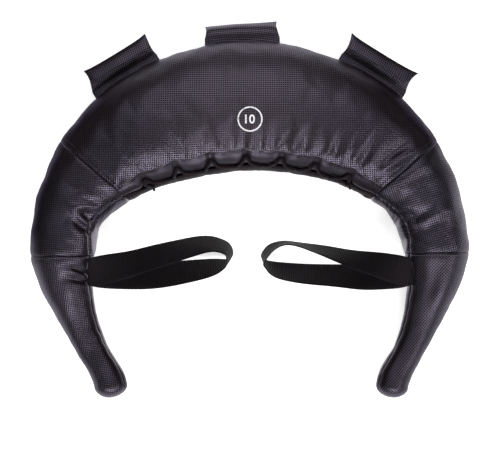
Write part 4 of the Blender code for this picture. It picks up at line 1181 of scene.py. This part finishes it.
def twisted_tube(path, radius, strands=3, turn_length=0.012, sides=14, blunt=0.25):
    """(points, faces, pattern) of a cord with rounded ends."""
    steps = running(path, 0)
    even = np.linspace(0, steps[-1], max(int(steps[-1] / (radius * 0.5)), 8))
    path = np.stack([np.interp(even, steps, path[:, k]) for k in range(3)], -1)
    forward = np.gradient(path, axis=0)
    forward /= np.linalg.norm(forward, axis=1, keepdims=True)
    side = np.cross(forward[0], (0.0, 0.0, 1.0))
    if np.linalg.norm(side) < 0.1:
        side = np.cross(forward[0], (1.0, 0.0, 0.0))
    sideways = []
    for step in forward:
        side = side - step * (side @ step)
        side /= np.linalg.norm(side)
        sideways.append(side)
    sideways = np.array(sideways)
    upwards = np.cross(forward, sideways)
    around = np.linspace(0, 2 * math.pi, sides, endpoint=False)
    twist = strands * (around[None, :] - 2 * math.pi * even[:, None] / (turn_length * strands))
    swell = 1 - 0.16 * (1 - np.abs(np.cos(twist / 2)))
    ends = np.minimum(even, even[-1] - even) / radius
    swell *= np.sqrt(np.clip(1 - (1 - np.clip(ends / blunt, 0, 1)) ** 2, 0.02, 1))[:, None]
    points = path[:, None] + radius * swell[..., None] * (
        np.cos(around)[None, :, None] * sideways[:, None]
        + np.sin(around)[None, :, None] * upwards[:, None]
    )
    first, last = (end[:, None].repeat(sides, 1) for end in (path[:1], path[-1:]))
    points = np.concatenate([first, points, last])
    index = np.arange(points.shape[0] * sides).reshape(-1, sides)
    along = np.concatenate([[even[0]], even, [even[-1]]])
    pattern = np.stack([along[:, None] + 0 * around, 0 * along[:, None] + around * radius], -1)
    return points.reshape(-1, 3), quads(index, wrap=True), pattern.reshape(-1, 2)


def joined(parts):
    """Several (points, faces, pattern) as one."""
    points, faces, pattern = zip(*parts)
    shifts = np.cumsum([0] + [len(some) for some in points])
    faces = [some + shift for some, shift in zip(faces, shifts)]
    return np.concatenate(points), np.concatenate(faces), np.concatenate(pattern)


# %% Lace and knots
LACE_RADIUS, KNOT_RADIUS, TAIL_RADIUS = 1.2 * LACE_DIAMETER / 2, 0.0019, 0.0018
KNOT_SIZE, TAIL_LENGTH = 0.00105, 0.0095

tree, shader = material(
    "lace cord", Roughness=0.6, Specular_IOR_Level=0.20, Specular_Tint=(0.90, 0.66, 0.86)
)
turns = {"Vector": on_pattern(tree), "Rotation": (0, 0, math.radians(38))}
waves = {"Vector": add(tree, "Mapping", turns).outputs[0], "Scale": 420.0, "Distortion": 0.5}
yarn = add(tree, "TexWave", waves).outputs["Fac"]
wire(
    tree, shader, Base_Color=mixed(tree, yarn, (0.0014, 0.0010, 0.0012), (0.0100, 0.0068, 0.0080)),
    Normal=bump(tree, yarn, 0.0003, 0.7),
)

lace = outward_faces(piece_of("lace", *twisted_tube(LACE_PATH, LACE_RADIUS)))
dress(lace, "lace cord", "bag")
for word, end, before, way in (("left", 0, 1, 0.15), ("right", -1, -2, 0.3)):
    away = route[end] - route[before]
    away /= np.linalg.norm(away)
    middle = route[end] + away * 0.0030
    lap = np.linspace(0, 2 * math.pi, 60)
    knot_line = np.stack([
        np.sin(lap) + 2 * np.sin(2 * lap), np.cos(lap) - 2 * np.cos(2 * lap),
        -1.4 * np.sin(3 * lap),
    ], -1) * KNOT_SIZE
    lean = np.array(Vector(away).to_track_quat("Z", "Y").to_matrix())
    knot_line = knot_line @ lean.T + middle
    tail = middle + np.linspace(0, 1, 8)[:, None] * np.array((way, -0.75, -0.5)) * TAIL_LENGTH
    tail[:, 2] += 0.002 * np.sin(np.linspace(0, math.pi, 8))
    cords = twisted_tube(knot_line, KNOT_RADIUS), twisted_tube(tail, TAIL_RADIUS, blunt=0.1)
    knot = outward_faces(piece_of(f"lace_knot_{word}", *joined(cords)))
    dress(knot, "lace cord", "bag")
print("lace, 2 knots")

# %% [markdown]
# ## The top loops
# Three sleeves of the cover's leather are folded over and sewn into the outer seam by both edges.
# Their corners stand out in points, their open ends are drawn in, and the sleeve is fullest in the
# middle. Each is one closed sheet that runs from the seam, round the fold and back to the seam.
# The middle one hangs down over the bag's edge.

# %% Loops
LOOP_PLACE, LOOP_WIDTH, LOOP_REACH = 0.1395, 0.104, 0.0350
LOOP_PLY, LOOP_FULLNESS, LOOP_WAIST = 0.0014, 0.0066, 0.0062
LOOP_STANDOFF, LOOP_BEND, FLAP_DEPTH = 0.0048, 0.014, 0.0115
# station, droop in degrees, its lean to one side, slide and widening of the outer edge
LOOP_FACTS = {
    "left": (-LOOP_PLACE, 6, 0.0, 0.0030, -0.0034),
    "centre": (-0.0068, 60, -0.10, -0.0012, -0.0034),
    "right": (LOOP_PLACE, 6, 0.0, -0.0010, 0.0006),
}


def loop_span(centre):
    """The stations of the outer seam that a loop's width takes."""
    run = np.linspace(centre - 0.08, centre + 0.08, 1601)
    near = np.linalg.norm(skin(run, OUTER_SEAM) - skin(centre, OUTER_SEAM), axis=1) < LOOP_WIDTH / 2
    return run[near]


def sleeve(word):
    centre, droop, lean, slide, widening = LOOP_FACTS[word]
    seam = skin(loop_span(centre), OUTER_SEAM)
    along = (seam[-1] - seam[0]) / np.linalg.norm(seam[-1] - seam[0])
    out = np.array((-along[1], along[0], 0))
    origin = (seam[0] + seam[-1]) / 2
    origin = origin + out * (((seam - origin) @ out).max() + LOOP_STANDOFF)
    origin[2] = spine(centre)[6]
    seam = seam - origin
    reach = LOOP_REACH - LOOP_STANDOFF
    walk = np.linspace(0, reach * 1.35, 200)
    share = np.sin(np.linspace(0, math.pi / 2, 22))
    across = np.linspace(-1, 1, 53)
    droops = math.radians(droop) * (1 + lean * across)
    beta = -droops * eased(walk / LOOP_BEND)[:, None]
    bent = np.stack([np.cumsum(way(beta), 0) for way in (np.cos, np.sin)], -1)
    bent *= walk[1] - walk[0]
    half = LOOP_WIDTH / 2 - LOOP_WAIST * (1 - (2 * (share - 0.45)) ** 2) / 2 + widening * share**2
    least = LOOP_PLY * 0.62
    full = least + (LOOP_FULLNESS - least) * eased(share / 0.45)
    full = full * np.sqrt(1 - share**2.6)
    t, u = share[:, None], across[None, :]
    corner = 0.0016 * t**3 * (np.abs(u) ** 6) - 0.0010 * t**3 * (1 - u**2)
    distance = reach * t + corner
    pinch = 1 - 0.55 * np.abs(u) ** 8
    flat_places = np.stack([u * LOOP_WIDTH / 2 + 0 * t, t * reach + 0 * u, 0 * t * u], -1)
    creases = 0.00012 * np.sin(u * 13 + 3 * t) * (1 - t) ** 2
    creases = creases + 0.0004 * swells(flat_places, 0.055, 21)
    grids = []
    for offset in (LOOP_PLY / 2, -LOOP_PLY / 2):
        plies = []
        for sign in (1, -1):
            lift = sign * (full[:, None] * pinch * (1 + 0.08 * np.cos(u * 5)) + creases + offset)
            forward = offset * t**12
            where = np.stack([
                np.stack([
                    np.interp(distance[:, c], walk, bent[:, c, k]) for c in range(len(across))
                ], 1)
                for k in (0, 1)
            ], -1)
            slope = -droops * eased(distance / LOOP_BEND)
            radial = where[..., 0] - np.sin(slope) * lift + np.cos(slope) * forward
            height = where[..., 1] + np.cos(slope) * lift + np.sin(slope) * forward
            column = u * half[:, None] + slide * eased(t * 1.2)
            points = origin + along * column[..., None] + out * radial[..., None]
            points[..., 2] += height
            root_at = across * half[0]
            root_out = np.interp(root_at, seam @ along, seam @ out) - 0.0015
            root = origin + along * root_at[:, None] + out * root_out[:, None]
            root[:, 2] = root[:, 2] + sign * (least + offset)
            plies.append(np.concatenate([root[None], points]))
        grids.append(np.concatenate([plies[0], plies[1][-2::-1]]))
    outer, inner = grids
    pattern = np.stack([running(outer, 1), running(outer, 0)], -1)
    return plate(f"top_loop_{word}", outer, inner, turned(pattern, 3))


def seam_flap(name, run, seam, thickness, shallow):
    """A flap that goes down into a seam: a closed sheet, so thick, from a shallow depth."""
    angle, depths = turn(run, seam, thickness), np.linspace(shallow, FLAP_DEPTH, 5)
    outer, inner = (
        np.stack([skin(run, at, depth) for depth in depths], 1) for at in (angle, 2 * seam - angle)
    )
    return plate(name, outer, inner, outer[..., :2])


# the middle loop hangs into the top lamp's light, so its outer side isn't dulled
MATERIALS["loop leather"] = MATERIALS["cover leather"].copy()
MATERIALS["loop leather"].name = "loop leather"
MATERIALS["loop leather"].node_tree.nodes["outer band"].inputs["To Max"].default_value = 0.0
for word, (centre, *_) in LOOP_FACTS.items():
    dyed = "loop leather" if word == "centre" else "cover leather"
    dress(sleeve(word), dyed, f"top_loop_{word}")
    run = loop_span(centre)[::40]
    tab = seam_flap(f"top_loop_tab_{word}", run, OUTER_SEAM, 0.0012, 0.001)
    dress(tab, "smooth leather", "bag")
print("3 loops and their tabs")

# %% [markdown]
# ## The webbing straps
# Each strap is a band of black ribbed webbing. Both its ends go into the inner seam of an arm, and
# the band stands up, turns over and comes back. The route is given in a few rows, and a smooth run
# of points goes through them. The ribs run across the band, and its edges are a little thicker.

# %% Webbing
RIB_PITCH, CROSS_PITCH = 0.0025, 0.0012

tree, shader = material("webbing", Specular_IOR_Level=0.23, Specular_Tint=(0.92, 0.80, 0.90))
split = add(tree, "SeparateXYZ", {0: on_pattern(tree)}).outputs
waves = []
for axis, pitch in (("X", RIB_PITCH), ("Y", CROSS_PITCH)):
    turns = maths(tree, "MULTIPLY", split[axis], 2 * math.pi / pitch)
    waves.append(maths(tree, "MULTIPLY_ADD", maths(tree, "SINE", turns), 0.5, 0.5))
rib, cross = waves
cloth = maths(tree, "MULTIPLY_ADD", cross, 0.25, maths(tree, "MULTIPLY", rib, 0.75))
wire(
    tree, shader, Base_Color=mixed(tree, cloth, (0.0004, 0.0003, 0.0004), (0.0062, 0.0044, 0.0056)),
    Roughness=maths(tree, "MULTIPLY_ADD", cloth, -0.48, 0.95),
    Normal=bump(tree, cloth, 0.0008, 0.7),
)
STRAP_WIDTH, STRAP_THICKNESS, STRAP_PLY_GAP = 0.040, 0.0018, 0.0004
STRAP_STANDOFF, STRAP_ROOT, STRAP_PLACE = 0.0060, 0.0008, 0.0215
STRAP_REACH, STRAP_SWAY, STRAP_RISE, STRAP_LIFT = 0.195, 0.040, 0.060, 0.0018
STRAP_SMOOTHING, STRAP_TURN = 30, 0.030
STRAP_ROUTES = {
    "left": (
        (0.06, 0.03, 1.030, 6), (0.294, 0.27, 1.030, 32), (0.561, 0.66, 0.950, 42),
        (0.800, 0.94, 0.720, 56), (0.925, 0.83, 0.570, 66), (0.966, 0.60, 0.480, 73),
        (0.966, 0.37, 0.420, 84), (0.940, 0.23, 0.380, 104), (0.870, 0.14, 0.340, 122),
        (0.760, 0.05, 0.300, 134), (0.561, -0.11, 0.310, 147),
        (0.336, -0.175, 0.500, 161), (0.060, -0.10, 0.900, 176),
    ),
    "right": (
        (0.06, 0.05, 1.030, 8), (0.309, 0.34, 1.060, 46), (0.583, 0.68, 0.980, 68),
        (0.800, 0.95, 0.820, 85), (0.913, 0.86, 0.680, 80), (0.985, 0.62, 0.560, 74),
        (1.015, 0.34, 0.450, 86), (0.970, 0.10, 0.365, 112), (0.856, -0.06, 0.300, 128),
        (0.583, -0.16, 0.265, 137), (0.428, -0.19, 0.305, 143), (0.267, -0.19, 0.500, 156),
        (0.060, -0.10, 0.900, 175),
    ),
}


def unit(vector):
    return vector / np.linalg.norm(vector)


def strap_seam(side):
    """(point on the seam, direction along it, outward direction) in the middle of a strap's end."""
    start = LOWER_SEAM + STRAP_PLACE - STRAP_WIDTH / 2
    near, far = skin(side * start, INNER_SEAM), skin(side * (start + STRAP_WIDTH), INNER_SEAM)
    middle = side * (LOWER_SEAM + STRAP_PLACE)
    along = unit(near - far)
    out = outward(middle, INNER_SEAM)
    out = unit(out - along * (out @ along))
    seam = (near + far) / 2
    return seam + out * max((skin(middle, INNER_SEAM) - seam) @ out, 0), along, out


def band(word, side):
    seam, along, out = strap_seam(side)
    axis = seam + out * STRAP_STANDOFF
    ply = np.cross(along, out) * side * (STRAP_THICKNESS + STRAP_PLY_GAP) / 2
    middle, twists = [seam + out * STRAP_ROOT + ply, axis + ply], [0, 0]
    for reach, sway, rise, twist in smooth_path(STRAP_ROUTES[word], 3):
        middle.append(np.array((
            axis[0] - side * reach * STRAP_REACH, axis[1] + STRAP_LIFT + sway * STRAP_SWAY,
            rise * STRAP_RISE,
        )))
        twists.append(twist)
    middle += [axis - ply, seam + out * STRAP_ROOT - ply]
    run = smooth_path(np.column_stack([middle, twists + [180, 180]]), 6)
    for _ in range(STRAP_SMOOTHING):
        run[3:-3] = (run[2:-4] + run[3:-3] + run[4:-2]) / 3
    middle, twists = run[:, :3], np.radians(run[:, 3:])
    forward = np.gradient(middle, axis=0)
    forward /= np.linalg.norm(forward, axis=1, keepdims=True)
    flat = side * np.stack([forward[:, 1], -forward[:, 0], 0 * forward[:, 0]], -1)
    flat /= np.linalg.norm(flat, axis=1, keepdims=True)
    widths = flat * np.cos(twists) - np.array((0, 0, 1)) * np.sin(twists)
    walked = running(middle, 0)
    sewn = eased(1 - np.minimum(walked, walked[-1] - walked) / STRAP_TURN)[:, None]
    widths = widths * (1 - sewn) + along * sewn
    widths -= forward * (widths * forward).sum(1, keepdims=True)
    widths /= np.linalg.norm(widths, axis=1, keepdims=True)
    normal = np.cross(forward, widths)
    across = np.linspace(-0.5, 0.5, 17)
    ends = eased(np.minimum(walked, walked[-1] - walked) / 0.05)
    cup = (0.0012 * np.sin(walked / 0.035) + 0.0008 * np.sin(walked / 0.013 + 1)) * ends
    wave = cup[:, None] * (4 * across**2 - 0.5)
    grid = middle[:, None] + widths[:, None] * (STRAP_WIDTH * across)[None, :, None]
    grid = grid + normal[:, None] * wave[..., None]
    edge = 1 + 0.25 * np.exp(-((np.abs(across) - 0.46) / 0.03) ** 2)
    edge = edge - 0.75 * (np.abs(across) > 0.495)
    thick = normal[:, None] * (STRAP_THICKNESS / 2 * edge)[None, :, None]
    pattern = np.stack(np.broadcast_arrays(walked[:, None], STRAP_WIDTH * across), -1)
    return plate(f"strap_{word}", grid + thick, grid - thick, pattern)


for word, side in SIDES:
    dress(band(word, side), "webbing", f"strap_{word}")
    start = LOWER_SEAM + STRAP_PLACE - STRAP_WIDTH / 2
    run = side * np.linspace(start, start + STRAP_WIDTH, 9)
    tail = seam_flap(f"strap_tail_{word}", run, INNER_SEAM, STRAP_THICKNESS, 0.0005)
    dress(tail, "webbing", f"arm_{word}")
print("2 straps and their tails")

# %% [markdown]
# ## Thread and print
# Stitches are small rounded threads laid on the leather. To find its surface under a station and
# an angle, a ray is sent at a tree of all the cover's panels, as they are now.

# %% The leather's surface
RAY_START = 0.02
GRIDS = [panel["points"] for panel in PANELS.values()]
points, faces, _ = joined([
    (grid.reshape(-1, 3), quads(numbered(grid)), grid[..., 0].ravel()) for grid in GRIDS
])
COVER_TREE = BVHTree.FromPolygons(points.tolist(), faces.tolist())


def on_cover(place, out):
    """(point, normal) of the leather in line with a place, seen from outside."""
    start = Vector(place + out * RAY_START)
    hit, normal, *_ = COVER_TREE.ray_cast(start, Vector(-out), 2 * RAY_START)
    if hit is None:
        return np.array(place), np.array(out)
    normal = np.array(normal)
    return np.array(hit), normal if normal @ out > 0 else -normal


# %% Thread
# the pale thread is partly thread, and partly a painted highlight along the seams' lit edges
for name, light, dark in (
    ("pale thread", (0.20, 0.18, 0.22), (0.07, 0.06, 0.08)),
    ("dark thread", (0.008, 0.006, 0.008), (0.003, 0.002, 0.003)),
):
    tree, shader = material(name, Roughness=0.6, Specular_IOR_Level=0.3)
    fuzz = noise(tree, in_space(tree), 900.0, 2.0)
    wire(tree, shader, Base_Color=mixed(tree, fuzz, dark, light), Normal=bump(tree, fuzz, 0.0003))


def thread_bead(start, end, normal, radius):
    """(points, faces, pattern) of one stitch: a thread that dips in at both ends."""
    share = np.linspace(0, 1, 6)[:, None]
    path = start + (end - start) * share + normal * radius * (1.5 * np.sin(np.pi * share) - 0.6)
    return twisted_tube(path, radius, strands=1, turn_length=0.01, sides=6, blunt=0.8)


def stitch_row(name, stations, angles, body, radius, length=0.0026, gap=0.0012, dyed="pale thread"):
    """One piece of stitches along a line of stations and angles, on a body."""
    parts = []
    places, outs = skin(stations, angles), outward(stations, angles)
    walked = running(places, 0)
    for start in np.arange(gap, walked[-1] - length, length + gap):
        ends = []
        for at in (start, start + length):
            place, out = (
                np.array([np.interp(at, walked, rows[:, k]) for k in range(3)])
                for rows in (places, outs)
            )
            ends.append(on_cover(place, unit(out)))
        parts.append(thread_bead(ends[0][0], ends[1][0], ends[0][1], radius))
    row = outward_faces(piece_of(name, *joined(parts), merge=1e-7))
    dye(row, dyed)
    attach(row, body)
    print(name, len(parts))


run = rows_between(-UPPER_SEAM * 0.97, UPPER_SEAM * 0.97, 0.003)
beside_hem = turn(run, hem_top(run), 0.0022)
stitch_row("hem_stitches", run, beside_hem, "bag", 0.00048, length=0.0034, gap=0.0007)

SEAM_ROW_GAP = 0.0032
for word, side in SIDES:
    angles = np.linspace(INNER_SEAM + 0.05, OUTER_SEAM - 0.25, 60)
    upper = side * (UPPER_SEAM - UPPER_ROW_GAP) + 0 * angles
    lower = side * (ARM_SEAMS[word] + SEAM_ROW_GAP) + 0 * angles
    stitch_row(f"upper_stitches_{word}", upper, angles, "bag", 0.0007, dyed="dark thread")
    stitch_row(f"lower_stitches_{word}", lower, angles, f"arm_{word}", 0.0003)

# %% [markdown]
# ## A plain mark
# On the crown a thin ring with the plain number 10 is printed in white. It is raised by a
# hair's breadth, and follows the leather under it, because each of its points is dropped onto
# the surface.

# %% Print
MARK_PLACE, MARK_RADIUS, MARK_LINE = photo_place((250, 120.9)), 0.0160, 0.0019
PRINT_LIFT, PRINT_FOOT, CROWN_HEIGHT = 0.00022, -0.0002, 0.118
NUMBER_SIZE, LONGEST_EDGE = 0.0165, 0.003

tree, shader = material("print", Roughness=0.6, Specular_IOR_Level=0.3)
worn = soft_steps(tree, noise(tree, in_space(tree), 260.0, 4.0), 0.30, 0.42)
wire(tree, shader, Base_Color=mixed(tree, worn, (0.30, 0.29, 0.32), (0.80, 0.79, 0.82)))


def dropped(places, lift):
    """Places (x, y) on the leather, seen from above, raised a little."""
    up = np.array((0, 0, 1.0))
    return [on_cover(np.array((x, y, CROWN_HEIGHT)), up)[0] + up * lift for x, y in places]


def raised_print(name, places, faces):
    """A thin closed print of flat places and faces."""
    mesh = bmesh.new()
    upper, lower = (
        [mesh.verts.new(point) for point in dropped(places, lift)]
        for lift in (PRINT_LIFT, PRINT_FOOT)
    )
    edges = {}
    for face in faces:
        mesh.faces.new([upper[k] for k in face])
        mesh.faces.new([lower[k] for k in reversed(face)])
        edges.update(dict.fromkeys(zip(face, [*face[1:], face[0]])))
    for a, b in edges:
        if (b, a) not in edges:
            mesh.faces.new([upper[b], upper[a], lower[a], lower[b]])
    bmesh.ops.recalc_face_normals(mesh, faces=mesh.faces)
    data = bpy.data.meshes.new(name)
    mesh.to_mesh(data)
    mesh.free()
    made = into_scene(name, data)
    dye(made, "print")
    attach(made, "bag")


around = np.linspace(0, 2 * math.pi, 97)[:-1]
rings = np.array([MARK_RADIUS - MARK_LINE / 2, MARK_RADIUS, MARK_RADIUS + MARK_LINE / 2])
ring = np.stack([np.cos(around), np.sin(around)], -1)[None] * rings[:, None, None] + MARK_PLACE
raised_print("mark_ring", ring.reshape(-1, 2), quads(numbered(ring), wrap=True).tolist())

writing = bpy.data.curves.new("number", "FONT")
writing.body, writing.align_x, writing.align_y = "10", "CENTER", "CENTER"
writing.size, writing.resolution_u, writing.offset = NUMBER_SIZE, 6, 0.0003
number = into_scene("number", writing)
flat = bmesh.new()
flat.from_mesh(number.evaluated_get(bpy.context.evaluated_depsgraph_get()).to_mesh())
bpy.data.objects.remove(number)
bmesh.ops.remove_doubles(flat, verts=flat.verts, dist=1e-6)
bmesh.ops.triangulate(flat, faces=flat.faces)
long_edges = [edge for edge in flat.edges if edge.calc_length() > LONGEST_EDGE]
bmesh.ops.subdivide_edges(flat, edges=long_edges, cuts=2)
bmesh.ops.triangulate(flat, faces=flat.faces)
places = np.array([vertex.co[:2] for vertex in flat.verts])
places += MARK_PLACE - (places.max(0) + places.min(0)) / 2
flat.verts.index_update()
number_faces = [[vertex.index for vertex in face.verts] for face in flat.faces]
raised_print("mark_number", places, number_faces)
flat.free()
print("ring and number printed")
